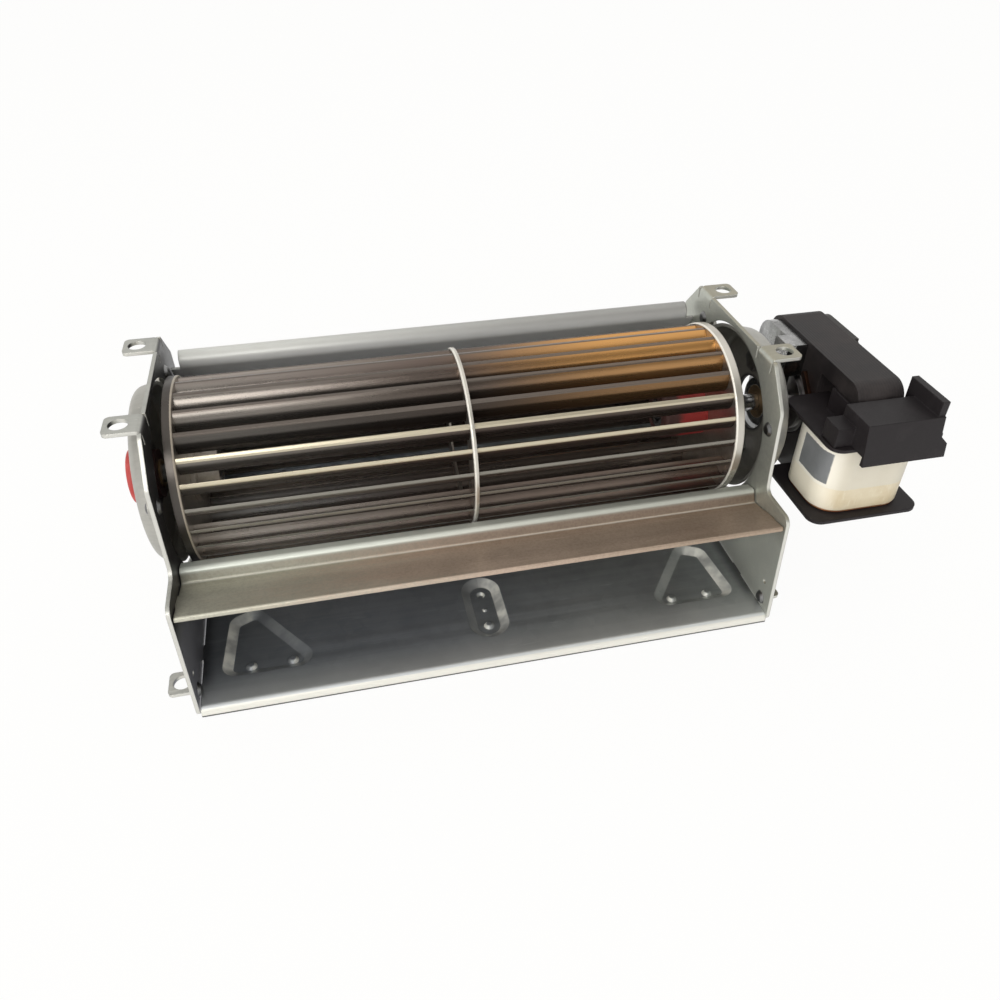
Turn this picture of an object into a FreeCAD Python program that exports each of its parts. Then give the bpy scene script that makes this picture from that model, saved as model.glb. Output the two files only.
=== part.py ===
import FreeCAD, Part
import math
import os
import Sketcher
from FreeCAD import Placement, Rotation, Vector

# Tangential blower of a refrigerator: a long impeller turns between two side plates,
# a shaded-pole motor drives it from the right, and the air leaves through the front.
# X runs along the impeller towards the motor, Y to the back and Z up.
# Sections are drawn about the impeller's axis; seat() then moves each piece so that
# the origin is at the middle of the four upper mounting holes, on top of their tabs.

SIZES = {
    # Housing, millimetres and degrees
    "housing_width": 190.0,
    "plate_gauge": 1.2,
    "sheet_gauge": 0.8,
    "seam_gap": 0.3,
    "plate_top": 31.6,
    "plate_foot": 52.9,
    "outlet_front_low": 57.2,
    "outlet_front_high": 54.0,
    "step_drop": 9.6,
    "edge_front_low": 38.8,
    "edge_front_high": 36.4,
    "edge_corner_height": 19.0,
    "top_corner_front": 26.4,
    "top_corner_rear": 31.4,
    "rear_corner_depth": 41.2,
    "rear_corner_height": 21.0,
    "rear_margin": 2.4,
    "rear_foot_depth": 14.0,
    "tail_drop": 46.0,
    "plate_corner": 3.0,
    # Mounting tabs
    "tab_height": 31.9,
    "tab_reach": 9.6,
    "tab_width": 9.2,
    "tab_hole": 5.6,
    "tab_bend": 1.9,
    "tab_corner": 1.6,
    "notch_width": 0.6,
    "notch_depth": 2.6,
    "front_tab": 20.4,
    "rear_tab": 26.2,
    "foot_height": 53.3,
    "front_foot": 42.3,
    "rear_foot": 4.3,
    # Openings and supports at both ends
    "opening_radius": 29.9,
    "dish_mouth": 28.9,
    "dish_taper": 14.0,
    "left_dish_depth": 6.3,
    "right_dish_depth": 11.0,
    "dish_corner": 3.2,
    "leg_width": 9.0,
    "leg_end": 36.6,
    "leg_angle": 162.0,
    "rivet_circle": 33.3,
    "rivet_hole": 3.0,
    "rivet_head": 4.8,
    "rivet_rise": 0.9,
    "locating_hole": 1.6,
    "locating_rise": 7.4,
    "fit_gap": 0.05,
    # Scroll
    "floor_drop": 49.0,
    "lip_bend": 2.2,
    "lip_drop": 52.3,
    "scroll_radius": 42.0,
    "scroll_back": -1.0,
    "scroll_end": 38.0,
    "bead_radius": 3.3,
    "bead_wrap": 60.0,
    "bead_setback": 3.2,
    "recess_depth": 2.0,
    "recess_slope": 3.0,
    "triangle_outer": 82.9,
    "triangle_inner": 63.7,
    "triangle_shoulder": 81.3,
    "triangle_apex": 78.0,
    "triangle_front": 41.4,
    "triangle_notch": 23.8,
    "triangle_back": 22.3,
    "triangle_corner": 4.6,
    "oval_front": 40.2,
    "oval_back": 25.4,
    "oval_width": 13.6,
    "dimple_radius": 1.5,
    "dimple_depth": 1.0,
    "stud_inner": 65.5,
    "stud_outer": 78.7,
    "stud_radius": 1.8,
    "stud_rise": 1.1,
    "small_stud_radius": 0.9,
    "lug_width": 6.0,
    "lug_reach": 1.6,
    # Stabiliser
    "tongue_edge_y": 28.0,
    "tongue_edge_z": 14.6,
    "ridge_y": 32.6,
    "ridge_z": 13.1,
    "valley_y": 34.6,
    "valley_z": 17.3,
    "brow_y": 53.4,
    "brow_z": 12.9,
    "hem_depth": 4.2,
    "hem_slit": 0.1,
    "tongue_bend": 0.8,
    # Impeller
    "impeller_radius": 30.0,
    "impeller_length": 178.2,
    "impeller_shift": -1.7,
    "disc_gauge": 0.8,
    "rim_width": 2.0,
    "ring_width": 1.4,
    "rim_gauge": 0.6,
    "blade_count": 24.0,
    "blade_gauge": 0.45,
    "blade_outer": 29.25,
    "blade_inner": 23.0,
    "blade_tip_angle": 26.0,
    "blade_phase": 4.5,
    "ring_inner": 20.5,
    # Shafts, bearings and hub
    "shaft_radius": 3.0,
    "running_gap": 0.04,
    "stub_inside": 9.0,
    "stub_outside": 6.6,
    "boss_radius": 6.5,
    "boss_flange": 10.5,
    "grommet_radius": 9.0,
    "grommet_neck": 6.4,
    "grommet_proud": 5.6,
    "grommet_inside": 2.0,
    "bush_radius": 4.5,
    "bush_length": 9.4,
    "hub_radius": 8.8,
    "hub_length": 15.6,
    "hub_neck": 7.4,
    "sleeve_radius": 5.0,
    # Motor
    "stack_left": 119.3,
    "stack_thickness": 16.0,
    "stack_half_height": 25.0,
    "stack_rear": 20.5,
    "stack_front": 38.0,
    "stack_corner": 6.0,
    "leg_thickness": 12.0,
    "window_rear": 15.5,
    "window_half_height": 19.0,
    "rotor_radius": 12.5,
    "air_gap": 0.35,
    "rotor_overhang": 1.4,
    "pole_gap": 3.0,
    "shading_circle": 15.9,
    "shading_wire": 1.15,
    "bolt_spread": 17.5,
    "bolt_radius": 2.0,
    "bolt_gap": 0.15,
    "bolt_head": 3.6,
    "bolt_head_rise": 2.6,
    "nut_width": 7.0,
    "nut_rise": 3.2,
    "bracket_base": 4.3,
    "bracket_front": 4.6,
    "bracket_window": 12.7,
    "bracket_corner": 7.0,
    "bridge_rise": 3.0,
    "cup_radius": 8.6,
    "cup_wall": 2.6,
    "bearing_length": 8.0,
    "outer_base": 3.2,
    "post_radius": 4.0,
    "cup_hole_gap": 1.0,
    # Coil and its terminal housing
    "flange_gauge": 1.2,
    "flange_half_width": 20.0,
    "flange_front": 48.8,
    "flange_corner": 4.5,
    "bobbin_wall": 1.0,
    "bobbin_gap": 0.1,
    "arm_gap": 0.2,
    "coil_half_width": 16.2,
    "coil_half_depth": 13.1,
    "coil_top": 10.0,
    "coil_corner": 8.5,
    "wrap_gauge": 0.3,
    "wrap_margin": 0.8,
    "cover_left": 113.8,
    "cover_right": 142.2,
    "cover_front_low": 54.8,
    "cover_front_high": 52.4,
    "cover_top": 22.0,
    "cover_skirt": 8.5,
    "cover_wall": 1.5,
    "cover_gap": 0.3,
    "wing_left": 108.0,
    "wing_front": 47.0,
    "wing_top": 18.0,
    "fin_left": 137.3,
    "fin_right": 139.7,
    "fin_rear": 35.8,
    "fin_front": 51.9,
    "fin_top": 27.0,
    "prong_top": 13.0,
    "terminal_gauge": 0.8,
    "terminal_height": 4.8,
    "terminal_pitch": 4.6,
    "terminal_length": 20.0,
}


class Size:
    """A length or angle that carries its number and the expression that gives it."""

    def __init__(self, value, text):
        self.value = value
        self.text = text

    def joined(self, sign, other, value):
        return Size(value, "(" + self.text + " " + sign + " " + as_size(other).text + ")")

    def __add__(self, other):
        return self.joined("+", other, self.value + as_size(other).value)

    def __radd__(self, other):
        return as_size(other) + self

    def __sub__(self, other):
        return self.joined("-", other, self.value - as_size(other).value)

    def __rsub__(self, other):
        return as_size(other) - self

    def __mul__(self, other):
        return self.joined("*", other, self.value * as_size(other).value)

    def __rmul__(self, other):
        return as_size(other) * self

    def __truediv__(self, other):
        return self.joined("/", other, self.value / as_size(other).value)

    def __neg__(self):
        return as_size(-1) * self


def as_size(number):
    if isinstance(number, Size):
        return number
    return Size(float(number), "(" + repr(float(number)) + ")")


def root(size):
    return Size(math.sqrt(size.value), "sqrt(" + size.text + ")")


def sine(angle):
    return Size(math.sin(math.radians(angle.value)), "sin(" + angle.text + ")")


def cosine(angle):
    return Size(math.cos(math.radians(angle.value)), "cos(" + angle.text + ")")


def arc_sine(size):
    return Size(math.degrees(math.asin(size.value)), "asin(" + size.text + ") / 1 deg")


def arc_cosine(size):
    return Size(math.degrees(math.acos(size.value)), "acos(" + size.text + ") / 1 deg")


doc = FreeCAD.newDocument("tangential_blower")
sheet = doc.addObject("Spreadsheet::Sheet", "Sizes")
for row, (word, number) in enumerate(SIZES.items(), start=1):
    sheet.set("A%d" % row, word)
    sheet.set("B%d" % row, str(number))
    sheet.setAlias("B%d" % row, word)
worked = doc.addObject("App::VarSet", "Worked")
doc.recompute()


def given(word):
    """A driving dimension from the sheet."""
    return Size(float(sheet.get(word)), "Sizes." + word)


def named(word, size):
    """Keeps a dimension worked out from the sheet under a name of its own."""
    worked.addProperty("App::PropertyFloat", word)
    worked.setExpression(word, size.text)
    return Size(size.value, "Worked." + word)


parts = []


def seat(piece, label, turn=None):
    """Gives a piece its name, its turn about the impeller's axis and its place."""
    piece.Label = label
    piece.Placement = Placement(Vector(0, 0, 0), Rotation(Vector(1, 0, 0), 1.0))
    angle = as_size(0.0) if turn is None else turn
    piece.setExpression("Placement.Rotation.Angle", angle.text)
    piece.setExpression("Placement.Base.y", (-tab_centre).text)
    piece.setExpression("Placement.Base.z", (-given("tab_height")).text)
    parts.append(piece)
    return piece


def new_body(name, several=False):
    body = doc.addObject("PartDesign::Body", name)
    if several:
        body.AllowCompound = True
    return body


def origin_feature(body, role):
    return [feature for feature in body.Origin.OriginFeatures if feature.Role == role][0]


def sketch(body, plane, name, lift=None):
    """A sketch on one of the body's own planes, lifted along that plane's normal."""
    drawing = body.newObject("Sketcher::SketchObject", name)
    drawing.AttachmentSupport = [(origin_feature(body, plane), "")]
    drawing.MapMode = "FlatFace"
    if lift is not None:
        drawing.setExpression("AttachmentOffset.Base.z", as_size(lift).text)
    return drawing


def drive(drawing, kind, arguments, size):
    """Adds one dimension and ties it to its expression."""
    index = drawing.addConstraint(Sketcher.Constraint(kind, *arguments, size.value))
    drawing.setExpression("Constraints[%d]" % index, size.text)


def place_point(drawing, edge, end, across, up):
    drive(drawing, "DistanceX", (-1, 1, edge, end), across)
    drive(drawing, "DistanceY", (-1, 1, edge, end), up)


def arc_between(start, finish, radius, turn):
    """The arc under half a turn from start to finish; turn is 1 to the left, -1 to the right."""
    middle = (start + finish) * 0.5
    chord = finish - start
    rise = math.sqrt(max(radius * radius - chord.Length ** 2 / 4.0, 0.0))
    side = Vector(-chord.y, chord.x, 0).normalize() * rise * turn
    centre = middle + side
    angles = [math.atan2(p.y - centre.y, p.x - centre.x) for p in (start, finish)]
    first, last = angles if turn > 0 else reversed(angles)
    return Part.ArcOfCircle(Part.Circle(centre, Vector(0, 0, 1), radius), first, last)


def outline(drawing, corners, mirror=1):
    """A closed outline. A corner is (across, up), or (across, up, radius, turn) where an
    arc leaves it. mirror -1 draws it on the other side of the vertical axis."""
    points = [Vector(as_size(c[0]).value * mirror, as_size(c[1]).value, 0) for c in corners]
    first = drawing.GeometryCount
    count = len(corners)
    ends = []
    for index, corner in enumerate(corners):
        start = points[index]
        finish = points[(index + 1) % count]
        if len(corner) == 2:
            drawing.addGeometry(Part.LineSegment(start, finish), False)
            ends.append((1, 2))
        else:
            turn = corner[3] * mirror
            drawing.addGeometry(arc_between(start, finish, as_size(corner[2]).value, turn), False)
            ends.append((1, 2) if turn > 0 else (2, 1))
    joints = []
    for index in range(count):
        following = (index + 1) % count
        joints.append(Sketcher.Constraint("Coincident", first + index, ends[index][1],
                                          first + following, ends[following][0]))
    drawing.addConstraint(joints)
    for index, corner in enumerate(corners):
        place_point(drawing, first + index, ends[index][0],
                    as_size(corner[0]) * mirror, as_size(corner[1]))
        if len(corner) == 4:
            drive(drawing, "Radius", (first + index,), as_size(corner[2]))


def circle(drawing, across, up, radius):
    across, up, radius = as_size(across), as_size(up), as_size(radius)
    centre = Vector(across.value, up.value, 0)
    edge = drawing.addGeometry(Part.Circle(centre, Vector(0, 0, 1), radius.value), False)
    drive(drawing, "Radius", (edge,), radius)
    place_point(drawing, edge, 3, across, up)


def box(drawing, left, right, low, high):
    outline(drawing, [(left, low), (right, low), (right, high), (left, high)])


def rounded_box(drawing, left, right, low, high, radius):
    """A rectangle with four equal round corners."""
    outline(drawing, [
        (left + radius, low), (right - radius, low, radius, 1),
        (right, low + radius), (right, high - radius, radius, 1),
        (right - radius, high), (left + radius, high, radius, 1),
        (left, high - radius), (left, low + radius, radius, 1),
    ])


def hull(drawing, centres, radius):
    """The outline round equal circles, taken leftwards round the centres."""
    corners = []
    count = len(centres)
    for index, (across, up) in enumerate(centres):
        before = centres[index - 1]
        after = centres[(index + 1) % count]
        arriving = outward_normal(before, (across, up))
        leaving = outward_normal((across, up), after)
        if count == 2:
            tip = (-arriving[1], arriving[0])
            corners.append((across + radius * arriving[0], up + radius * arriving[1], radius, 1))
            corners.append((across + radius * tip[0], up + radius * tip[1], radius, 1))
        else:
            corners.append((across + radius * arriving[0], up + radius * arriving[1], radius, 1))
        corners.append((across + radius * leaving[0], up + radius * leaving[1]))
    outline(drawing, corners)


def outward_normal(start, finish):
    """The unit vector to the right of the way from start to finish."""
    across = as_size(finish[0]) - start[0]
    up = as_size(finish[1]) - start[1]
    length = root(across * across + up * up)
    return up / length, -across / length


def pad(body, drawing, length, name, reverse=False, midplane=False):
    feature = body.newObject("PartDesign::Pad", name)
    feature.Profile = drawing
    feature.setExpression("Length", as_size(length).text)
    feature.Reversed = reverse
    feature.Midplane = midplane
    drawing.Visibility = False
    return feature


def pocket(body, drawing, length, name, reverse=False, midplane=False):
    """Cuts a drawing through; it has to take something away."""
    doc.recompute()
    before = body.Shape.Volume
    feature = body.newObject("PartDesign::Pocket", name)
    feature.Profile = drawing
    feature.setExpression("Length", as_size(length).text)
    feature.Reversed = reverse
    feature.Midplane = midplane
    doc.recompute()
    if not body.Shape.Volume < before:
        raise RuntimeError(name + " cuts nothing")
    return feature


def revolve(body, drawing, name, axis="X_Axis"):
    feature = body.newObject("PartDesign::Revolution", name)
    feature.Profile = drawing
    feature.ReferenceAxis = (origin_feature(body, axis), [""])
    feature.Angle = 360.0
    return feature


def polar(body, features, name, count, axis="X_Axis"):
    feature = body.newObject("PartDesign::PolarPattern", name)
    feature.Originals = features
    feature.Axis = (origin_feature(body, axis), [""])
    feature.Angle = 360.0
    feature.setExpression("Occurrences", as_size(count).text)
    body.Tip = feature
    return feature


def straight_edges(body, direction, spots):
    """Names of the straight edges along a direction that pass through the given spots."""
    doc.recompute()
    shape = body.Tip.Shape
    found = []
    for number, edge in enumerate(shape.Edges, start=1):
        if not isinstance(edge.Curve, Part.Line):
            continue
        if abs(edge.Curve.Direction.dot(direction)) < 0.999:
            continue
        middle = edge.CenterOfMass
        for spot in spots:
            apart = middle - spot
            if (apart - direction * apart.dot(direction)).Length < 0.02:
                found.append("Edge%d" % number)
    return found


def fillet(body, direction, spots, radius, name):
    """Rounds the straight edges that pass through the given spots."""
    names = straight_edges(body, direction, spots)
    if len(names) < len(spots):
        raise RuntimeError(name + " misses an edge")
    rounded = body.Tip
    feature = body.newObject("PartDesign::Fillet", name)
    feature.Base = (rounded, names)
    feature.setExpression("Radius", as_size(radius).text)
    body.Tip = feature
    return feature


def ray(radius, angle):
    """A point of a section at a radius and an angle from the back, turning upwards."""
    return radius * cosine(as_size(angle)), radius * sine(as_size(angle))


ALONG = Vector(1, 0, 0)
BACK = Vector(0, 1, 0)
UP = Vector(0, 0, 1)

tab_centre = named("tab_centre", (given("rear_tab") - given("front_tab")) / 2)
plate_outer = named("plate_outer", given("housing_width") / 2)
plate_inner = named("plate_inner", plate_outer - given("plate_gauge"))
sheet_end = named("sheet_end", plate_inner - given("seam_gap"))
left_dish = named("left_dish", plate_outer + given("left_dish_depth"))
right_dish = named("right_dish", plate_outer + given("right_dish_depth"))
plate_gauge = given("plate_gauge")
sheet_gauge = given("sheet_gauge")
fit_gap = given("fit_gap")


# Scroll housing

floor_drop = given("floor_drop")
scroll_radius = given("scroll_radius")
scroll_back = given("scroll_back")
scroll_centre = named("scroll_centre", scroll_radius - floor_drop)


def lug_spans():
    """The lugs at each end of the sheet as (low back, high back, low up, high up) boxes."""
    half = given("lug_width") / 2
    spans = []
    beside_foot = (given("tab_width") + given("lug_width")) / 2 + given("notch_width") * 2
    for middle in (beside_foot - given("front_foot"), -given("rear_foot") * 2):
        spans.append((middle - half, middle + half, -floor_drop - sheet_gauge, -floor_drop))
    back = scroll_back + scroll_radius
    spans.append((back, back + sheet_gauge, scroll_centre - half, scroll_centre + half))
    return spans


def scroll_lug_boxes(drawing):
    for low_y, high_y, low_z, high_z in lug_spans():
        box(drawing, low_y, high_y, low_z, high_z)


def end_lugs(body, name, draw):
    """The same lugs at both ends of a sheet, through the side plates and a little beyond."""
    far = plate_outer + given("lug_reach")
    near = sheet_end - sheet_gauge
    for end, start in (("left", -far), ("right", near)):
        drawing = sketch(body, "YZ_Plane", name + "_" + end, start)
        draw(drawing)
        pad(body, drawing, far - near, name + "_" + end + "_row")


def scroll_section(drawing):
    """One sheet: the front lip, the floor, the spiral wall and the rolled bead on top."""
    lip_front = -given("outlet_front_low") - given("seam_gap")
    lip_top = -floor_drop - given("lip_bend")
    bead = given("bead_radius")
    end = given("scroll_end")
    up_wall = ray(scroll_radius, end)
    bead_out = ray(scroll_radius + bead, end)
    bead_y = named("bead_y", scroll_back + bead_out[0])
    bead_z = named("bead_z", scroll_centre + bead_out[1])
    wall_end = (scroll_back + up_wall[0], scroll_centre + up_wall[1])
    back_end = ray(scroll_radius + sheet_gauge, end)
    tail = ray(bead, -given("bead_wrap"))
    thin = bead - sheet_gauge
    thin_tail = ray(thin, -given("bead_wrap"))
    bend = given("lip_bend")
    outline(drawing, [
        (lip_front, -given("lip_drop")),
        (lip_front, lip_top, bend, -1),
        (lip_front + bend, -floor_drop),
        (scroll_back, -floor_drop, scroll_radius, 1),
        (wall_end[0], wall_end[1], bead, -1),
        (bead_y, bead_z + bead, bead, -1),
        (bead_y + bead, bead_z, bead, -1),
        (bead_y + tail[0], bead_z + tail[1]),
        (bead_y + thin_tail[0], bead_z + thin_tail[1], thin, 1),
        (bead_y + thin, bead_z, thin, 1),
        (bead_y, bead_z + thin, thin, 1),
        (scroll_back + back_end[0], scroll_centre + back_end[1], scroll_radius + sheet_gauge, -1),
        (scroll_back, -floor_drop - sheet_gauge),
        (lip_front + bend, -floor_drop - sheet_gauge, bend - sheet_gauge, 1),
        (lip_front + sheet_gauge, lip_top),
        (lip_front + sheet_gauge, -given("lip_drop")),
    ])


def recess(body, name, centres, radius):
    """A pressed pan in the floor: the outside first, then the hollow inside it."""
    slope = given("recess_slope")
    depth = given("recess_depth")
    under = -floor_drop - sheet_gauge
    wide = sketch(body, "XY_Plane", name + "_outer_rim", under)
    hull(wide, centres, radius + sheet_gauge)
    narrow = sketch(body, "XY_Plane", name + "_outer_pan", under - depth)
    hull(narrow, centres, radius + sheet_gauge - slope)
    outside = body.newObject("PartDesign::AdditiveLoft", name + "_outside")
    outside.Profile = wide
    outside.Sections = [narrow]
    mouth = sketch(body, "XY_Plane", name + "_mouth", -floor_drop)
    hull(mouth, centres, radius)
    pan = sketch(body, "XY_Plane", name + "_pan", -floor_drop - depth)
    hull(pan, centres, radius - slope)
    doc.recompute()
    inside = body.newObject("PartDesign::SubtractiveLoft", name + "_inside")
    inside.Profile = mouth
    inside.Sections = [pan]
    doc.recompute()


def bead_end_room(drawing):
    """The room round the bead, from the end of the spiral wall outwards."""
    end = given("scroll_end")
    bead = given("bead_radius")
    beyond = bead + sheet_gauge

    def spot(radius, aside):
        out, over = ray(radius, end), ray(aside, end)
        return scroll_back + out[0] - over[1], scroll_centre + out[1] + over[0]

    inner = scroll_radius - sheet_gauge
    outer = scroll_radius + sheet_gauge + fit_gap
    far = outer + bead * 2
    outline(drawing, [spot(inner, as_size(0)), spot(outer, as_size(0)), spot(outer, -beyond),
                      spot(far, -beyond), spot(far, beyond), spot(inner, beyond)])


def set_bead_back(body):
    """The rolled bead stops short of both ends of the sheet."""
    setback = given("bead_setback")
    for end, start, to_right in (("right", sheet_end - setback, True),
                                 ("left", setback - sheet_end, False)):
        drawing = sketch(body, "YZ_Plane", end + "_bead_end", start)
        bead_end_room(drawing)
        pocket(body, drawing, setback * 2, end + "_bead_setback", reverse=to_right)


def pressed_spot(body, name, across, along, level, radius, rise):
    """A round stud or, with a negative rise, a dimple, narrower at its crown."""
    wide = sketch(body, "XY_Plane", name + "_foot", level)
    circle(wide, across, along, radius)
    crown = sketch(body, "XY_Plane", name + "_crown", level + rise)
    circle(crown, across, along, radius * 0.55)
    kind = "AdditiveLoft" if rise.value > 0 else "SubtractiveLoft"
    doc.recompute()
    loft = body.newObject("PartDesign::" + kind, name)
    loft.Profile = wide
    loft.Sections = [crown]


def press_dimple(body, name, across, along, level):
    """A dimple through the sheet's depth, with the sheet carried round below it."""
    under = level - sheet_gauge
    radius, deep = given("dimple_radius"), given("dimple_depth")
    boss = sketch(body, "XY_Plane", name + "_boss", under - deep)
    circle(boss, across, along, radius + sheet_gauge)
    pad(body, boss, deep, name + "_cup")
    pressed_spot(body, name, across, along, level, radius, -deep)


def make_scroll_housing():
    body = new_body("ScrollHousing")
    section = sketch(body, "YZ_Plane", "scroll_section")
    scroll_section(section)
    pad(body, section, sheet_end * 2, "scroll_sheet", midplane=True)
    set_bead_back(body)
    end_lugs(body, "scroll_lugs", scroll_lug_boxes)
    front = -given("triangle_front")
    base = (given("triangle_outer"), front), (given("triangle_inner"), front)
    shoulder = given("triangle_shoulder"), -given("triangle_notch")
    apex = given("triangle_apex"), -given("triangle_back")
    corner = given("triangle_corner")
    recess(body, "right_triangle", [base[1], base[0], shoulder, apex], corner)
    left = [(-across, along) for across, along in (base[0], base[1], apex, shoulder)]
    recess(body, "left_triangle", left, corner)
    oval = [(as_size(0), -given("oval_front")), (as_size(0), -given("oval_back"))]
    recess(body, "centre_oval", oval, given("oval_width") / 2)
    pan_top = -floor_drop - given("recess_depth")
    stud, rise = given("stud_radius"), given("stud_rise")
    for name, across in (("inner", given("stud_inner")), ("outer", given("stud_outer"))):
        pressed_spot(body, "right_" + name + "_stud", across, front, pan_top, stud, rise)
        pressed_spot(body, "left_" + name + "_stud", -across, front, pan_top, stud, rise)
    oval_front, oval_back = -given("oval_front"), -given("oval_back")
    pressed_spot(body, "front_stud", as_size(0), oval_front, pan_top, stud, rise)
    pressed_spot(body, "middle_stud", as_size(0), (oval_front + oval_back) / 2, pan_top,
                 given("small_stud_radius"), rise / 2)
    press_dimple(body, "rear_dimple", as_size(0), oval_back, pan_top)
    return seat(body, "scroll_housing")


# Side plates, left and right the mirror image of each other


def tab_section(drawing, side, height, downwards):
    """A plate bent outwards at its edge; downwards is 1 at the top and -1 at the foot."""
    bend = given("tab_bend")
    tip = plate_outer + given("tab_reach")
    root_height = height - given("notch_depth") - bend
    corners = [
        (plate_inner, downwards * root_height),
        (plate_inner, downwards * (height - bend), bend, -downwards),
        (plate_inner + bend, downwards * height),
        (tip, downwards * height),
        (tip, downwards * (height - plate_gauge)),
        (plate_inner + bend, downwards * (height - plate_gauge), bend - plate_gauge, downwards),
        (plate_outer, downwards * (height - bend)),
        (plate_outer, downwards * root_height),
    ]
    outline(drawing, corners, mirror=side)


def add_tab(body, side, name, middle, height, downwards):
    """Cuts the relief notch in the plate's edge, then adds the bent tab with its hole."""
    half = given("tab_width") / 2
    gap = given("notch_width")
    deep = height - given("notch_depth") - given("tab_bend")
    notch = sketch(body, "YZ_Plane", name + "_notch")
    beyond = downwards * (height + given("tab_bend"))
    outline(notch, [(middle - half - gap, downwards * deep), (middle - half - gap, beyond),
                    (middle + half + gap, beyond), (middle + half + gap, downwards * deep)])
    pocket(body, notch, plate_outer * 4, name + "_relief", midplane=True)
    section = sketch(body, "XZ_Plane", name + "_section", -middle + half)
    tab_section(section, side, height, downwards)
    pad(body, section, half * 2, name + "_bend", reverse=True)
    tip = side * (plate_outer + given("tab_reach")).value
    level = downwards * (height - plate_gauge / 2).value
    spots = [Vector(tip, (middle - half).value, level), Vector(tip, (middle + half).value, level)]
    fillet(body, UP, spots, given("tab_corner"), name + "_corners")
    hole = sketch(body, "XY_Plane", name + "_hole")
    circle(hole, side * tab_hole_x, middle, given("tab_hole") / 2)
    pocket(body, hole, height + given("tab_bend"), name + "_drilling", reverse=downwards > 0)


def plate_outline(drawing):
    """The plate seen along the axis, from the outlet's foot clockwise round the back."""
    back = scroll_back + scroll_radius + sheet_gauge + given("rear_margin")
    reach = scroll_radius + sheet_gauge + given("rear_margin")
    drop = given("tail_drop") + scroll_centre
    tail = scroll_back + root(reach * reach - drop * drop)
    outline(drawing, [
        (-given("outlet_front_low"), -given("plate_foot")),
        (-given("outlet_front_high"), -given("step_drop")),
        (-given("edge_front_low"), -given("step_drop")),
        (-given("edge_front_high"), given("edge_corner_height")),
        (-given("top_corner_front"), given("plate_top")),
        (given("top_corner_rear"), given("plate_top")),
        (given("rear_corner_depth"), given("rear_corner_height")),
        (back, scroll_centre, reach, -1),
        (tail, -given("tail_drop")),
        (given("rear_foot_depth"), -given("plate_foot")),
    ])


def make_side_plate(side, name, label):
    body = new_body(name)
    inside = plate_inner if side > 0 else -plate_outer
    blank = sketch(body, "YZ_Plane", "blank", inside)
    plate_outline(blank)
    pad(body, blank, plate_gauge, "plate")
    middle = side * (plate_inner + plate_gauge / 2).value
    bends = [(-given("outlet_front_high").value, -given("step_drop").value),
             (-given("edge_front_low").value, -given("step_drop").value),
             (-given("edge_front_high").value, given("edge_corner_height").value),
             (-given("top_corner_front").value, given("plate_top").value),
             (given("rear_corner_depth").value, given("rear_corner_height").value),
             (-given("outlet_front_low").value, -given("plate_foot").value)]
    spots = [Vector(middle, across, up) for across, up in bends]
    fillet(body, ALONG, spots, given("plate_corner"), "plate_corners")
    opening = sketch(body, "YZ_Plane", "opening", inside - plate_gauge)
    circle(opening, 0, 0, given("opening_radius"))
    pocket(body, opening, plate_gauge * 3, "round_opening", reverse=True)
    slots = sketch(body, "YZ_Plane", "slots", inside - plate_gauge)
    for low_y, high_y, low_z, high_z in lug_spans():
        box(slots, low_y - fit_gap, high_y + fit_gap, low_z - fit_gap, high_z + fit_gap)
    outline(slots, tongue_lug(fit_gap))
    for angle in leg_angles():
        spot = ray(given("rivet_circle"), angle)
        circle(slots, spot[0], spot[1], given("rivet_hole") / 2)
    across, up = corner_rivet_spot()
    circle(slots, across, up, given("rivet_hole") / 2)
    circle(slots, across, up + given("locating_rise"), given("locating_hole") / 2)
    pocket(body, slots, plate_gauge * 3, "slots_and_holes", reverse=True)
    add_tab(body, side, "front_tab", -given("front_tab"), given("tab_height"), 1)
    add_tab(body, side, "rear_tab", given("rear_tab"), given("tab_height"), 1)
    add_tab(body, side, "front_foot", -given("front_foot"), given("foot_height"), -1)
    add_tab(body, side, "rear_foot", given("rear_foot"), given("foot_height"), -1)
    return seat(body, label)


def leg_angles():
    """Three legs a third of a turn apart."""
    return [given("leg_angle"), given("leg_angle") - 120, given("leg_angle") - 240]


def corner_rivet_spot():
    """Low in the outlet's front corner."""
    return (given("rivet_head") * 1.3 - given("outlet_front_low"),
            given("rivet_head") / 2 - floor_drop)


# Stabiliser, a folded strip between the impeller and the outlet


def tongue_path():
    """The strip's upper face from the impeller to the brow, then its hem folded under."""
    edge = (-given("tongue_edge_y"), -given("tongue_edge_z"))
    ridge = (-given("ridge_y"), -given("ridge_z"))
    valley = (-given("valley_y"), -given("valley_z"))
    brow = (-given("brow_y"), -given("brow_z"))
    run_y = brow[0] - valley[0]
    run_z = brow[1] - valley[1]
    length = named_once("brow_length", root(run_y * run_y + run_z * run_z))
    along = (run_y / length, run_z / length)
    deep = sheet_gauge * 2 + given("hem_slit")
    hem = (brow[0] - along[1] * deep, brow[1] + along[0] * deep)
    hem_end = (hem[0] - along[0] * given("hem_depth"), hem[1] - along[1] * given("hem_depth"))
    return [edge, ridge, valley, brow, hem, hem_end], along


known = {}


def named_once(word, size):
    """A worked dimension that more than one piece uses."""
    if word not in known:
        known[word] = named(word, size)
    return known[word]


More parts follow.
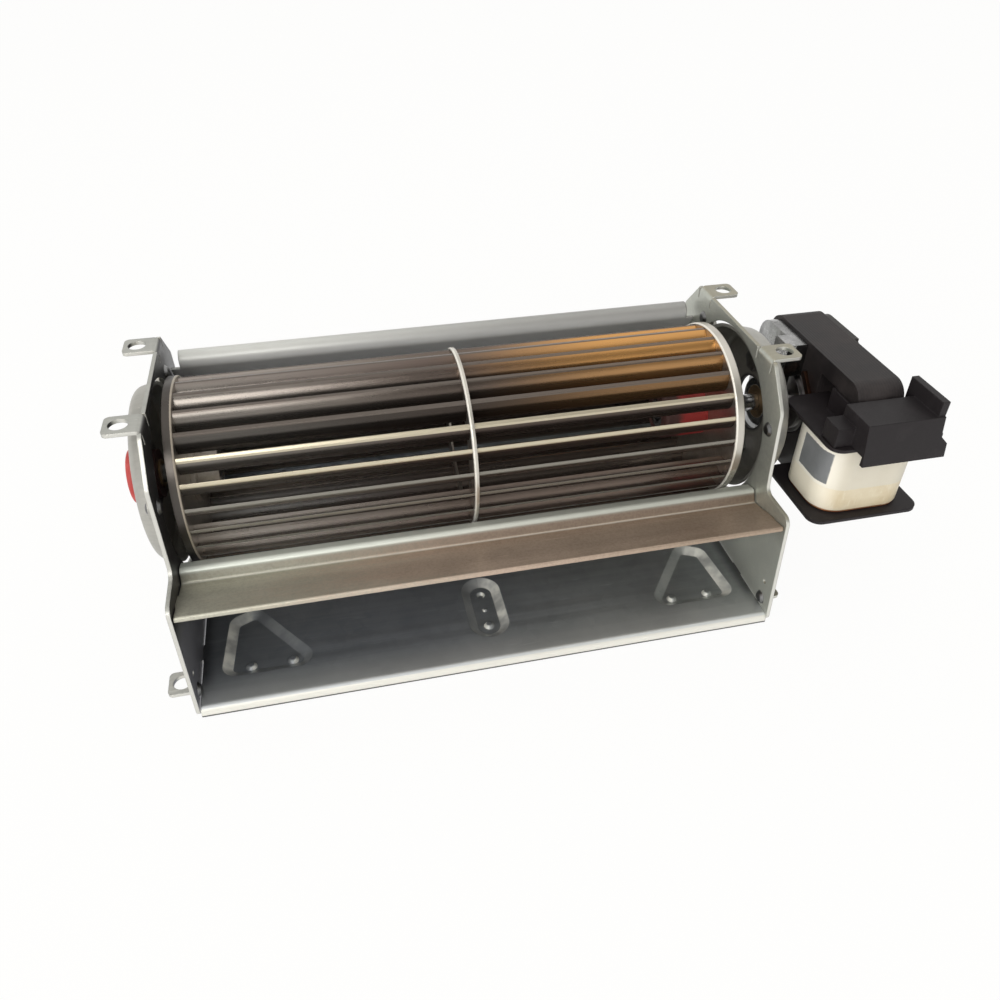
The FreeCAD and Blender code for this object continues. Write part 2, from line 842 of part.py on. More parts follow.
def strip_corners(path, gauge, word):
    """The closed outline of a sheet folded along a path, with its corners mitred."""
    normals = []
    for start, finish in zip(path, path[1:]):
        right = outward_normal(start, finish)
        normals.append((-right[0], -right[1]))
    offset = []
    for index, (across, up) in enumerate(path):
        before = normals[max(index - 1, 0)]
        after = normals[min(index, len(normals) - 1)]
        share = gauge / (before[0] * after[0] + before[1] * after[1] + 1)
        if index in (0, len(path) - 1):
            offset.append((across + gauge * after[0], up + gauge * after[1]))
        else:
            offset.append((across + share * (before[0] + after[0]),
                           up + share * (before[1] + after[1])))
    kept = []
    for index, (across, up) in enumerate(offset):
        kept.append((named_once("%s_y%d" % (word, index), across),
                     named_once("%s_z%d" % (word, index), up)))
    return kept + list(reversed(path))


def tongue_lug(gap):
    """The lug's section where the strip's broad face passes through the side plate."""
    path, along = tongue_path()
    valley, brow = path[2], path[3]
    middle = ((valley[0] + brow[0]) / 2, (valley[1] + brow[1]) / 2)
    half = given("lug_width") / 2 + gap
    down = (along[1] * -1, along[0])
    corners = []
    for step, drop in ((-1, -gap), (1, -gap), (1, sheet_gauge + gap), (-1, sheet_gauge + gap)):
        corners.append((middle[0] + along[0] * half * step - down[0] * drop * -1,
                        middle[1] + along[1] * half * step - down[1] * drop * -1))
    return corners


def make_stabiliser():
    body = new_body("Stabiliser")
    path, along = tongue_path()
    section = sketch(body, "YZ_Plane", "section")
    corners = strip_corners(path, sheet_gauge, "tongue")
    outline(section, corners)
    pad(body, section, sheet_end * 2, "strip", midplane=True)
    under = [Vector(0, across.value, up.value) for across, up in corners[:len(path)]]
    over = [Vector(0, as_size(across).value, as_size(up).value) for across, up in path]
    bend = given("tongue_bend")
    fillet(body, ALONG, [over[1], under[2]], bend + sheet_gauge, "outer_bends")
    fillet(body, ALONG, [under[1], over[2]], bend, "inner_bends")
    fillet(body, ALONG, [over[3], over[4]], sheet_gauge * 0.8, "hem_fold")
    end_lugs(body, "tongue_lugs", lambda lug: outline(lug, tongue_lug(-fit_gap)))
    return seat(body, "stabiliser")


# Dished supports riveted outside both openings


def dish_section(face, centre_hole):
    """Half the section of a pressed dish: a tapered wall, a round edge and a flat face."""
    taper = given("dish_taper")
    lean, flat = sine(taper), cosine(taper)
    corner, inner_corner = given("dish_corner"), given("dish_corner") - plate_gauge
    mouth = given("dish_mouth")
    edge = mouth - (face - plate_outer) * lean / flat
    run = corner * flat / (lean + 1)
    wall = (face - run * flat, edge + run * lean)
    inner_wall = (wall[0] - plate_gauge * lean, wall[1] - plate_gauge * flat)
    return [
        (plate_outer, mouth - plate_gauge / flat), (plate_outer, mouth),
        (wall[0], wall[1], corner, -1), (face, edge - run),
        (face, centre_hole), (face - plate_gauge, centre_hole),
        (face - plate_gauge, edge - run, inner_corner, 1), inner_wall,
    ]


def make_support(side, name, face, centre_hole):
    body = new_body(name)
    dish = sketch(body, "XY_Plane", "dish_section")
    outline(dish, dish_section(face, centre_hole), mirror=side)
    revolve(body, dish, "dish")
    foot = plate_outer if side > 0 else -plate_outer - plate_gauge
    half = given("leg_width") / 2
    near = given("dish_mouth") - plate_gauge
    far = given("leg_end") - half
    for number, angle in enumerate(leg_angles(), start=1):
        leg = sketch(body, "YZ_Plane", "leg_%d" % number, foot)
        out = ray(as_size(1), angle)

        def spot(reach, aside):
            return reach * out[0] - aside * out[1], reach * out[1] + aside * out[0]

        outline(leg, [spot(near, -half), spot(far, -half) + (half, 1),
                      spot(given("leg_end"), as_size(0)) + (half, 1), spot(far, half),
                      spot(near, half)])
        pad(body, leg, plate_gauge, "leg_%d_strap" % number)
    holes = sketch(body, "YZ_Plane", "rivet_holes", foot - plate_gauge)
    for angle in leg_angles():
        across, up = ray(given("rivet_circle"), angle)
        circle(holes, across, up, given("rivet_hole") / 2)
    pocket(body, holes, plate_gauge * 3, "rivet_drilling", reverse=True)
    return body


def make_motor_support():
    hole = given("cup_radius") + given("cup_hole_gap")
    body = make_support(1, "MotorSupport", right_dish, hole)
    bolts = sketch(body, "YZ_Plane", "bolt_holes", right_dish - plate_gauge * 2)
    for side in (1, -1):
        circle(bolts, 0, side * given("bolt_spread"), given("bolt_radius") + given("bolt_gap"))
    pocket(body, bolts, plate_gauge * 3, "bolt_drilling", reverse=True)
    return seat(body, "motor_support")


def make_bearing_support():
    hole = given("grommet_neck") + fit_gap
    body = make_support(-1, "BearingSupport", left_dish, hole)
    return seat(body, "bearing_support")


def rivet(body, name, spot, inner, outer):
    """A round-headed rivet along X whose shank joins two faces."""
    head = given("rivet_head") / 2
    shank = given("rivet_hole") / 2 - fit_gap
    rise = given("rivet_rise")
    drawing = sketch(body, "YZ_Plane", name + "_shank", inner)
    circle(drawing, spot[0], spot[1], shank)
    pad(body, drawing, outer - inner, name + "_body")
    for end, level, back in (("inner", inner, True), ("outer", outer, False)):
        wide = sketch(body, "YZ_Plane", name + "_" + end + "_wide", level)
        circle(wide, spot[0], spot[1], head)
        crown = level - rise if back else level + rise
        narrow = sketch(body, "YZ_Plane", name + "_" + end + "_crown", crown)
        circle(narrow, spot[0], spot[1], head * 0.6)
        loft = body.newObject("PartDesign::AdditiveLoft", name + "_" + end + "_head")
        loft.Profile = wide
        loft.Sections = [narrow]


def make_support_rivets(side, name, label):
    body = new_body(name, several=True)
    inner = plate_inner if side > 0 else -plate_outer - plate_gauge
    outer = plate_outer + plate_gauge if side > 0 else -plate_inner
    for number, angle in enumerate(leg_angles(), start=1):
        rivet(body, "rivet_%d" % number, ray(given("rivet_circle"), angle), inner, outer)
    return seat(body, label)


def make_corner_rivets():
    body = new_body("CornerRivets", several=True)
    spot = corner_rivet_spot()
    rivet(body, "right_corner", spot, plate_inner, plate_outer)
    rivet(body, "left_corner", spot, -plate_outer, -plate_inner)
    return seat(body, "corner_rivets")


# Impeller

impeller_radius = given("impeller_radius")
half_length = given("impeller_length") / 2
disc_gauge = given("disc_gauge")
left_rim = named("left_rim", given("impeller_shift") - half_length)
right_rim = named("right_rim", given("impeller_shift") + half_length)
left_web = named("left_web", left_rim + given("rim_width"))
right_web = named("right_web", right_rim - given("rim_width"))
blade_pitch = named("blade_pitch", as_size(360) / given("blade_count"))


def blade_arc():
    """The arc of a forward-curved blade: radial at its inner edge, leaning at its tip."""
    outer, inner = given("blade_outer"), given("blade_inner")
    bend = (outer * outer - inner * inner) / (2 * outer * cosine(given("blade_tip_angle")))
    bend = named_once("blade_bend", bend)
    reach = named_once("blade_centre_radius", root(inner * inner + bend * bend))
    lean = arc_sine(bend / reach)
    turn = (reach * reach + outer * outer - bend * bend) / (2 * reach * outer)
    tip = named_once("blade_tip_turn", lean - arc_cosine(turn))
    return bend, reach, lean, tip


def blade_corners(grow):
    """A blade's section, thickened by grow on each face and lengthened by it at each end."""
    bend, reach, lean, tip = blade_arc()
    centre = (given("blade_inner"), -bend)
    half = given("blade_gauge") / 2 + grow
    inner_end = given("blade_inner") - grow
    word = "slot" if grow.value > 0 else "blade"
    outer = given("blade_outer") + grow
    corners = []
    for step in (1, -1):
        face = bend + half * step
        crossing = (reach * reach + outer * outer - face * face) / (2 * reach * outer)
        angle = arc_cosine(crossing) - lean
        angle = named_once("%s_tip_%s" % (word, "top" if step > 0 else "under"), angle)
        corners.append((face, outer * cosine(angle), outer * sine(angle)))
    top, under = corners
    if grow.value > 0:
        start = [(inner_end, -bend + top[0])]
        finish = [(centre[0], -bend + under[0]), (inner_end, -bend + under[0])]
    else:
        start = []
        finish = [(centre[0], -bend + under[0])]
    return start + [
        (centre[0], -bend + top[0], top[0], -1),
        (top[1], top[2]),
        (under[1], under[2], under[0], 1),
    ] + finish


def impeller_turn():
    """The turn that brings one blade's outer edge to the phase."""
    return named_once("impeller_turn", given("blade_phase") + blade_arc()[3])


def make_disc(name, label, web, rim_end, hole):
    """A thin disc with a rim turned over at its edge and a slot for every blade."""
    body = new_body(name)
    outward = 1 if rim_end.value > web.value else -1
    inside = web - disc_gauge * outward
    shoulder = given("rim_gauge")
    rim = impeller_radius - shoulder
    section = sketch(body, "XY_Plane", "section")
    outline(section, [(inside, hole), (web, hole), (web, rim), (rim_end, rim),
                      (rim_end, impeller_radius),
                      (inside + shoulder * outward, impeller_radius, shoulder, outward),
                      (inside, rim)])
    revolve(body, section, "disc")
    slot = sketch(body, "YZ_Plane", "slot", inside - disc_gauge * outward)
    outline(slot, blade_corners(fit_gap))
    cut = pocket(body, slot, disc_gauge * 3, "blade_slot", reverse=outward > 0)
    polar(body, [cut], "slot_circle", given("blade_count"))
    return seat(body, label, impeller_turn())


def make_blade(number):
    body = new_body("Blade%02d" % number)
    section = sketch(body, "YZ_Plane", "section", left_web - disc_gauge / 2)
    outline(section, blade_corners(as_size(0)))
    pad(body, section, right_web - left_web + disc_gauge, "blade")
    turn = impeller_turn() + blade_pitch * (number - 1)
    return seat(body, "blade_%02d" % number, turn)


# Shafts, bearings and the elastic hub

shaft_radius = given("shaft_radius")
bore_radius = named("bore_radius", shaft_radius + given("running_gap"))


def turned(name, label, corners):
    """A turned piece from half its section, drawn as (along the axis, radius)."""
    body = new_body(name)
    section = sketch(body, "XY_Plane", "half_section")
    outline(section, corners)
    revolve(body, section, "turning")
    return seat(body, label)


def make_left_boss():
    inside = left_web + disc_gauge
    return turned("LeftBoss", "left_boss", [
        (left_web, shaft_radius), (left_web, given("boss_radius") - fit_gap),
        (inside, given("boss_radius") - fit_gap), (inside, given("boss_flange")),
        (inside + disc_gauge * 2, given("boss_flange")),
        (inside + disc_gauge * 2, given("boss_radius")),
        (left_web + given("stub_inside"), given("boss_radius")),
        (left_web + given("stub_inside"), shaft_radius),
    ])


def make_stub_shaft():
    chamfer = fit_gap * 10
    far = -left_dish - given("stub_outside")
    return turned("StubShaft", "stub_shaft", [
        (far, as_size(0)), (far, shaft_radius - chamfer), (far + chamfer, shaft_radius),
        (left_web + given("stub_inside"), shaft_radius),
        (left_web + given("stub_inside"), as_size(0)),
    ])


def make_end_bearing():
    outside = -left_dish - given("grommet_proud")
    inside = outside + given("bush_length")
    return turned("EndBearing", "end_bearing", [
        (outside, bore_radius), (outside, given("bush_radius")),
        (inside, given("bush_radius")), (inside, bore_radius),
    ])


def make_bearing_grommet():
    proud = given("grommet_proud")
    face = -left_dish
    sheet = face + plate_gauge
    inside = sheet + given("grommet_inside")
    wide = given("grommet_radius")
    round_edge = given("plate_gauge")
    return turned("BearingGrommet", "bearing_grommet", [
        (face - proud, given("bush_radius")),
        (face - proud, wide - round_edge, round_edge, -1),
        (face - proud + round_edge, wide),
        (face, wide), (face, given("grommet_neck")), (sheet, given("grommet_neck")),
        (sheet, wide - round_edge), (inside, wide - round_edge),
        (inside, given("bush_radius")),
    ])


def make_elastic_hub():
    inside = right_web - disc_gauge
    deep = inside - given("hub_length")
    radius = given("hub_radius")
    round_edge = given("hub_neck") / 5
    return turned("ElasticHub", "elastic_hub", [
        (deep, given("sleeve_radius")),
        (deep, radius - round_edge, round_edge, -1),
        (deep + round_edge, radius),
        (inside, radius), (inside, given("hub_neck")),
        (right_web, given("hub_neck")), (right_web, radius),
        (right_web + disc_gauge, radius), (right_web + disc_gauge * 2, radius - disc_gauge),
        (right_web + disc_gauge * 2, given("sleeve_radius")),
    ])


def make_hub_sleeve():
    deep = right_web - disc_gauge - given("hub_length")
    return turned("HubSleeve", "hub_sleeve", [
        (deep, shaft_radius), (deep, given("sleeve_radius")),
        (right_web + disc_gauge * 2, given("sleeve_radius")),
        (right_web + disc_gauge * 2, shaft_radius),
    ])


# Motor, seen along the axis it shares with the impeller

stack_left = given("stack_left")
stack_right = named("stack_right", stack_left + given("stack_thickness"))
stack_middle = named("stack_middle", stack_left + given("stack_thickness") / 2)
half_height = given("stack_half_height")
rotor_radius = given("rotor_radius")
leg_rear = named("leg_rear", given("leg_thickness") - given("stack_front"))
outer_cup_end = named("outer_cup_end", stack_right + given("outer_base") + given("bearing_length"))
inner_base = named("inner_base", stack_left - given("bracket_base"))
inner_cup_end = named("inner_cup_end", right_dish + given("cup_hole_gap"))


def make_motor_shaft():
    chamfer = fit_gap * 10
    start = right_web - disc_gauge - given("hub_length") + shaft_radius
    end = outer_cup_end + chamfer
    return turned("MotorShaft", "motor_shaft", [
        (start, as_size(0)), (start, shaft_radius - chamfer), (start + chamfer, shaft_radius),
        (end - chamfer, shaft_radius), (end, shaft_radius - chamfer), (end, as_size(0)),
    ])


def make_rotor():
    over = given("rotor_overhang")
    ring = rotor_radius - over
    return turned("Rotor", "rotor", [
        (stack_left - over, shaft_radius), (stack_left - over, ring), (stack_left, ring),
        (stack_left, rotor_radius), (stack_right, rotor_radius), (stack_right, ring),
        (stack_right + over, ring), (stack_right + over, shaft_radius),
    ])


def shading_angles():
    """Where the shading rings pass through the poles: two slots for each pole."""
    return [(118.0, 150.0), (298.0, 330.0)]


def make_stator_stack():
    body = new_body("StatorStack")
    blank = sketch(body, "YZ_Plane", "lamination", stack_left)
    rounded_box(blank, -given("stack_front"), given("stack_rear"), -half_height, half_height,
                given("stack_corner"))
    pad(body, blank, given("stack_thickness"), "stack")
    cuts = sketch(body, "YZ_Plane", "cuts", stack_left)
    window = given("window_half_height")
    box(cuts, leg_rear, -given("window_rear"), -window, window)
    circle(cuts, 0, 0, rotor_radius + given("air_gap"))
    for side in (1, -1):
        circle(cuts, 0, side * given("bolt_spread"), given("bolt_radius") + given("bolt_gap"))
    for pair in shading_angles():
        for angle in pair:
            spot = ray(given("shading_circle"), angle)
            circle(cuts, spot[0], spot[1], given("shading_wire") + fit_gap)
    pocket(body, cuts, given("stack_thickness"), "window_and_bore", reverse=True)
    gap = sketch(body, "YZ_Plane", "pole_gap", stack_left)
    half = given("pole_gap") / 2
    box(gap, -given("window_rear") - half, -rotor_radius + half, -half, half)
    pocket(body, gap, given("stack_thickness"), "gap_between_poles", reverse=True)
    return seat(body, "stator_stack")


def make_shading_rings():
    """A copper loop through two slots of each pole, closed by a bar on both faces."""
    body = new_body("ShadingRings", several=True)
    wire = given("shading_wire")
    for number, pair in enumerate(shading_angles(), start=1):
        spots = [ray(given("shading_circle"), angle) for angle in pair]
        legs = sketch(body, "YZ_Plane", "legs_%d" % number, stack_left - wire)
        for spot in spots:
            circle(legs, spot[0], spot[1], wire)
        pad(body, legs, given("stack_thickness") + wire * 2, "loop_%d_legs" % number)
        for end, level in (("left", stack_left - wire), ("right", stack_right)):
            bar = sketch(body, "YZ_Plane", "bar_%d_%s" % (number, end), level)
            hull(bar, spots, wire)
            pad(body, bar, wire, "loop_%d_%s_bar" % (number, end))
    return seat(body, "shading_rings")


def bracket_frame(drawing, reach):
    """The bracket's foot on the stack: round the back of the rotor and open to the front."""
    front, rear = -given("bracket_front"), given("stack_rear")
    corner, window = given("bracket_corner"), given("bracket_window")
    mouth = root(window * window - front * front)
    outline(drawing, [
        (front, -reach), (rear - corner, -reach, corner, 1),
        (rear, corner - reach), (rear, reach - corner, corner, 1),
        (rear - corner, reach), (front, reach),
        (front, mouth, window, -1), (as_size(0), window, window, -1),
        (window, as_size(0), window, -1), (as_size(0), -window, window, -1), (front, -mouth),
    ])


def bracket(name, base, gauge, cup_end, outward):
    """A cast bearing bracket: a frame on the stack, a bridge over it and a cup in the middle.
    outward is the way from the stack to the cup along X. The outer bridge ends between the
    bolt heads, and the inner one carries the posts."""
    body = new_body(name)
    low = base if outward > 0 else base - gauge
    drawing = sketch(body, "YZ_Plane", "frame", low)
    reach = half_height - given("bracket_base") / 4
    bracket_frame(drawing, reach)
    pad(body, drawing, gauge, "base_frame")
    room_needed = given("shading_wire") + given("air_gap")
    room = sketch(body, "YZ_Plane", "ring_room", base)
    hull(room, [ray(given("shading_circle"), angle) for angle in shading_angles()[1]], room_needed)
    pocket(body, room, room_needed, "ring_recess", reverse=outward > 0)
    rise = given("bridge_rise")
    bridge = sketch(body, "YZ_Plane", "bridge", base + gauge * outward)
    half = given("bracket_front")
    end = given("bolt_spread") - given("post_radius") if outward > 0 else reach
    rounded_box(bridge, -half, half, -end, end, half / 3)
    pad(body, bridge, rise, "bridge", reverse=outward < 0)
    start = base + (gauge + rise) * outward
    cup = sketch(body, "YZ_Plane", "cup", start)
    circle(cup, 0, 0, given("cup_radius"))
    pad(body, cup, (cup_end - start) * outward, "bearing_cup", reverse=outward < 0)
    return body


def finish_bracket(body, label, base, gauge, cup_end, outward):
    """Opens the bearing seat and the bolt holes in a bracket."""
    seat_radius = given("cup_radius") - given("cup_wall")
    depth = given("bearing_length")
    bore = sketch(body, "YZ_Plane", "bearing_seat", cup_end)
    circle(bore, 0, 0, seat_radius)
    pocket(body, bore, depth, "seat_bore", reverse=outward < 0)
    start = outer_cup_end if outward > 0 else right_dish
    drill = sketch(body, "YZ_Plane", "bolt_holes", start)
    for side in (1, -1):
        circle(drill, 0, side * given("bolt_spread"), given("bolt_radius") + given("bolt_gap"))
    pocket(body, drill, (start - base) * outward, "bolt_drilling", reverse=outward < 0)
    return seat(body, label)


def make_inner_bracket():
    base, gauge = stack_left, given("bracket_base")
    body = bracket("InnerBracket", base, gauge, inner_cup_end, -1)
    posts = sketch(body, "YZ_Plane", "posts", inner_base - given("bridge_rise"))
    for side in (1, -1):
        circle(posts, 0, side * given("bolt_spread"), given("post_radius"))
    pad(body, posts, inner_base - given("bridge_rise") - right_dish, "posts_to_support",
        reverse=True)
    return finish_bracket(body, "inner_bearing_bracket", base, gauge, inner_cup_end, -1)


def make_outer_bracket():
    base, gauge = stack_right, given("outer_base")
    body = bracket("OuterBracket", base, gauge, outer_cup_end, 1)
    return finish_bracket(body, "outer_bearing_bracket", base, gauge, outer_cup_end, 1)


def make_motor_bearing(name, label, end, outward):
    seat_radius = given("cup_radius") - given("cup_wall")
    other = end - given("bearing_length") * outward
    low, high = (other, end) if outward > 0 else (end, other)
    return turned(name, label, [(low, bore_radius), (low, seat_radius),
                                (high, seat_radius), (high, bore_radius)])


def make_motor_bolts():
    """Two long bolts from the outer bracket through the stack to the motor's support."""
    body = new_body("MotorBolts", several=True)
    head_face = stack_right + given("outer_base")
    tip = right_dish - plate_gauge - given("nut_rise")
    shanks = sketch(body, "YZ_Plane", "shanks", tip)
    heads = sketch(body, "YZ_Plane", "heads", head_face)
    for side in (1, -1):
        circle(shanks, 0, side * given("bolt_spread"), given("bolt_radius"))
        circle(heads, 0, side * given("bolt_spread"), given("bolt_head"))
    pad(body, shanks, head_face - tip, "bolt_shanks")
    pad(body, heads, given("bolt_head_rise"), "bolt_heads")
    return seat(body, "motor_bolts")


def make_motor_nuts():
    body = new_body("MotorNuts", several=True)
    low = right_dish - plate_gauge - given("nut_rise")
    drawing = sketch(body, "YZ_Plane", "hexagons", low)
    corner = given("nut_width") / root(as_size(3))
    for side in (1, -1):
        points = []
        for turn in range(6):
            across, up = ray(corner, turn * 60.0)
            points.append((across, up + given("bolt_spread") * side))
        outline(drawing, points)
        circle(drawing, 0, side * given("bolt_spread"), given("bolt_radius"))
    pad(body, drawing, given("nut_rise"), "nuts")
    return seat(body, "motor_nuts")


# Coil on the stack's front leg, with its bobbin, wrap and terminal housing

leg_middle = named("leg_middle", leg_rear - given("leg_thickness") / 2)
bobbin_end = named("bobbin_end", given("window_half_height") - given("arm_gap"))
coil_low = named("coil_low", given("flange_gauge") - bobbin_end)
coil_top = given("coil_top")
flange_top = named("flange_top", coil_top + given("flange_gauge"))
tube_half_x = named("tube_half_x", given("stack_thickness") / 2 + given("bobbin_gap"))
tube_half_y = named("tube_half_y", given("leg_thickness") / 2 + given("bobbin_gap"))


def centred_box(drawing, half_across, half_up):
    box(drawing, stack_middle - half_across, stack_middle + half_across,
        leg_middle - half_up, leg_middle + half_up)


def make_coil_bobbin():
    body = new_body("CoilBobbin")
    wall = given("bobbin_wall")
    tube = sketch(body, "XY_Plane", "tube", -bobbin_end)
    centred_box(tube, tube_half_x + wall, tube_half_y + wall)
    pad(body, tube, bobbin_end * 2, "tube_wall")
    half = given("flange_half_width")
    for name, low in (("lower", -bobbin_end), ("upper", coil_top)):
        flange = sketch(body, "XY_Plane", name + "_flange", low)
        rounded_box(flange, stack_middle - half, stack_middle + half, -given("flange_front"),
                    -given("window_rear") - given("arm_gap"), given("flange_corner"))
        pad(body, flange, given("flange_gauge"), name + "_plate")
    core = sketch(body, "XY_Plane", "core", -bobbin_end)
    centred_box(core, tube_half_x, tube_half_y)
    pocket(body, core, bobbin_end * 2, "core_hole", reverse=True)
    return seat(body, "coil_bobbin")


def coil_ring(name, label, grow, inner, margin):
    """A ring of rounded rectangular section round the bobbin's tube."""
    body = new_body(name)
    drawing = sketch(body, "XY_Plane", "ring", coil_low + margin)
    half_x = given("coil_half_width") + grow
    half_y = given("coil_half_depth") + grow
    rounded_box(drawing, stack_middle - half_x, stack_middle + half_x, leg_middle - half_y,
                leg_middle + half_y, given("coil_corner") + grow)
    if inner:
        centred_box(drawing, tube_half_x + given("bobbin_wall"), tube_half_y + given("bobbin_wall"))
    else:
        half_x = given("coil_half_width")
        half_y = given("coil_half_depth")
        rounded_box(drawing, stack_middle - half_x, stack_middle + half_x, leg_middle - half_y,
                    leg_middle + half_y, given("coil_corner"))
    pad(body, drawing, coil_top - coil_low - margin * 2, "winding")
    return seat(body, label)


cover_left = given("cover_left")
cover_right = given("cover_right")
cover_wall = given("cover_wall")
cover_low = named("cover_low", flange_top + given("cover_gap"))
cover_rear = named("cover_rear", leg_middle - tube_half_y - given("bobbin_wall") - given("cover_gap"))
socket_front = named("socket_front", cover_wall - given("cover_front_high"))
socket_rear = named("socket_rear", cover_rear - cover_wall)
socket_low = named("socket_low", cover_low + cover_wall)
socket_top = named("socket_top", given("cover_top") - cover_wall)


def make_terminal_housing():
    """A moulded cover on the bobbin's upper flange: a hollow block open to the right, with a
    skirt down its front, a low wing to the left and an upright fin by the opening."""
    body = new_body("TerminalHousing")
    front_low, front_high = -given("cover_front_low"), -given("cover_front_high")
    skirt, top = given("cover_skirt"), given("cover_top")
    block = sketch(body, "YZ_Plane", "block", cover_left)
    outline(block, [
        (front_low, skirt), (front_low + cover_wall, skirt), (front_low + cover_wall, cover_low),
        (cover_rear, cover_low), (cover_rear, top), (front_high, top),
    ])
    pad(body, block, cover_right - cover_left, "block_and_skirt")
    wing = sketch(body, "YZ_Plane", "wing", given("wing_left"))
    box(wing, -given("wing_front"), cover_rear, cover_low, given("wing_top"))
    pad(body, wing, cover_left - given("wing_left") + cover_wall, "left_wing")
    fin_right, fin_top = given("fin_right"), given("fin_top")
    fin = sketch(body, "YZ_Plane", "fin", given("fin_left"))
    box(fin, -given("fin_front"), -given("fin_rear"), cover_low, fin_top)
    pad(body, fin, fin_right - given("fin_left"), "upright_fin")
    corner = sketch(body, "XZ_Plane", "cut_corner", -cover_rear)
    slope = cover_right - fin_right
    outline(corner, [
        (cover_right, given("prong_top")), (cover_right + slope, given("prong_top")),
        (cover_right + slope, fin_top), (fin_right, fin_top),
        (fin_right, given("prong_top") + slope),
    ])
    pocket(body, corner, cover_rear - front_low, "corner_over_prong", reverse=True)
    socket = sketch(body, "YZ_Plane", "socket", cover_right)
    box(socket, socket_front, socket_rear, socket_low, socket_top)
    pocket(body, socket, cover_right - cover_left - cover_wall * 2, "terminal_socket")
    return seat(body, "terminal_housing")


def make_terminals():
    body = new_body("Terminals", several=True)
    half_gauge, half_rise = given("terminal_gauge") / 2, given("terminal_height") / 2
    middle = (socket_front + socket_rear) / 2
    centre = (socket_low + socket_top) / 2
    drawing = sketch(body, "YZ_Plane", "blades", cover_left + cover_wall * 2)
    for step in (-1, 0, 1):
        across = middle + given("terminal_pitch") * step
        box(drawing, across - half_gauge, across + half_gauge,
            centre - half_rise, centre + half_rise)
    pad(body, drawing, given("terminal_length"), "terminal_blades")
    return seat(body, "terminals")


tab_hole_x = named("tab_hole_x", plate_outer + given("tab_reach") / 2 + plate_gauge / 2)

make_scroll_housing()
make_stabiliser()
make_side_plate(-1, "LeftSidePlate", "left_side_plate")
make_side_plate(1, "RightSidePlate", "right_side_plate")
make_bearing_support()
make_motor_support()
make_support_rivets(-1, "LeftRivets", "left_support_rivets")
make_support_rivets(1, "RightRivets", "right_support_rivets")
make_corner_rivets()
make_bearing_grommet()
make_end_bearing()
make_disc("LeftDisc", "left_end_disc", left_web, left_rim, given("boss_radius"))
make_disc("RightDisc", "right_end_disc", right_web, right_rim, given("hub_neck") + fit_gap)
ring_web = named("ring_web", given("impeller_shift") + disc_gauge / 2)
make_disc("CentreRing", "centre_ring", ring_web, ring_web + given("ring_width") - disc_gauge,
          given("ring_inner"))
for blade_number in range(1, int(given("blade_count").value) + 1):
    make_blade(blade_number)
make_left_boss()
make_stub_shaft()
make_elastic_hub()
make_hub_sleeve()
make_motor_shaft()
make_rotor()
make_stator_stack()
make_shading_rings()
make_inner_bracket()
make_outer_bracket()
make_motor_bearing("InnerBearing", "inner_motor_bearing", inner_cup_end, -1)
make_motor_bearing("OuterBearing", "outer_motor_bearing", outer_cup_end, 1)
make_motor_bolts()
make_motor_nuts()
make_coil_bobbin()
coil_ring("CoilWinding", "coil_winding", as_size(0), True, fit_gap)
coil_ring("CoilWrap", "coil_wrap", given("wrap_gauge"), False, given("wrap_margin"))
make_terminal_housing()
make_terminals()

doc.recompute()
failed = [thing.Name for thing in doc.Objects if {"Invalid", "Error"} & set(thing.State)]
if failed:
    raise RuntimeError("not rebuilt: " + ", ".join(failed))
for piece in parts:
    if piece.Shape.isNull() or not piece.Shape.isValid():
        raise RuntimeError(piece.Label + " has no sound shape")
os.makedirs("parts", exist_ok=True)
for piece in parts:
    piece.Shape.exportStep("parts/%s.step" % piece.Label)
print(len(parts), "pieces written")
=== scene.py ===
import bpy
from mathutils import Matrix, Vector


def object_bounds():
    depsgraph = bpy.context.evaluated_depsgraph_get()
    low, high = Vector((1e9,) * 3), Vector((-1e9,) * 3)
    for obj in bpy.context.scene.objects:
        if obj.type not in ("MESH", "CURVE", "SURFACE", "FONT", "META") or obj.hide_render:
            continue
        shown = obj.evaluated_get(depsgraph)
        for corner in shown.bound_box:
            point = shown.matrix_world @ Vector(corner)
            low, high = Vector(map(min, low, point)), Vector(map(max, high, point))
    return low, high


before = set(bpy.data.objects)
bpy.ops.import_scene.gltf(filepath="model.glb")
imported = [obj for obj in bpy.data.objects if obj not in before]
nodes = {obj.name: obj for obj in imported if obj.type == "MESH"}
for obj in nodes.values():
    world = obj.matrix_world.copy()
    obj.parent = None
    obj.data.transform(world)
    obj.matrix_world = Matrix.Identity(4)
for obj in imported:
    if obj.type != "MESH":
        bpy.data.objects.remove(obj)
cad_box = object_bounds()

FLOOR_LEVEL = cad_box[0][2]
AXIS = (0.0, -0.0029, -0.0319)

# Places on the pieces, in metres from the part's origin. Deep goes with Y and high with Z,
# forward goes against Y and down against Z. Each pair is where a change begins and ends.
PLATE_STEP_HIGH = (-0.058, -0.047)
OUTLET_ROOF_HIGH = (-0.055, -0.045)
SUPPORT_BORE_RADIUS = (0.0098, 0.0112)
BEAD_DEEP = (0.0272, 0.0285)
BEAD_HIGH = (-0.036, -0.0145)
RECESSES_FORWARD = (0.015, 0.0575)
RECESSES_DOWN = (0.076, 0.078)
SEAM_ALONG = (0.0885, 0.0932)
SEAM_FORWARD = (0.045, 0.057)
SEAM_DOWN = (0.07, 0.075)
FLOOR_EDGE_FORWARD = (0.047, 0.0592)
CURL_FORWARD = (0.0586, 0.0592)
CURL_PAINTED_HIGHLIGHT_DOWN = (0.0816, 0.0836)
CURL_CUT_DOWN = (0.0835, 0.0837)
RIDGE_DEEP = (-0.0359, -0.0295)
FOLD_DEEP = (-0.0373, -0.0362)
PAINTED_HIGHLIGHT_DEEP = (-0.0382, -0.0377)
BLADE_EDGE_RADIUS = (0.02915, 0.02925)
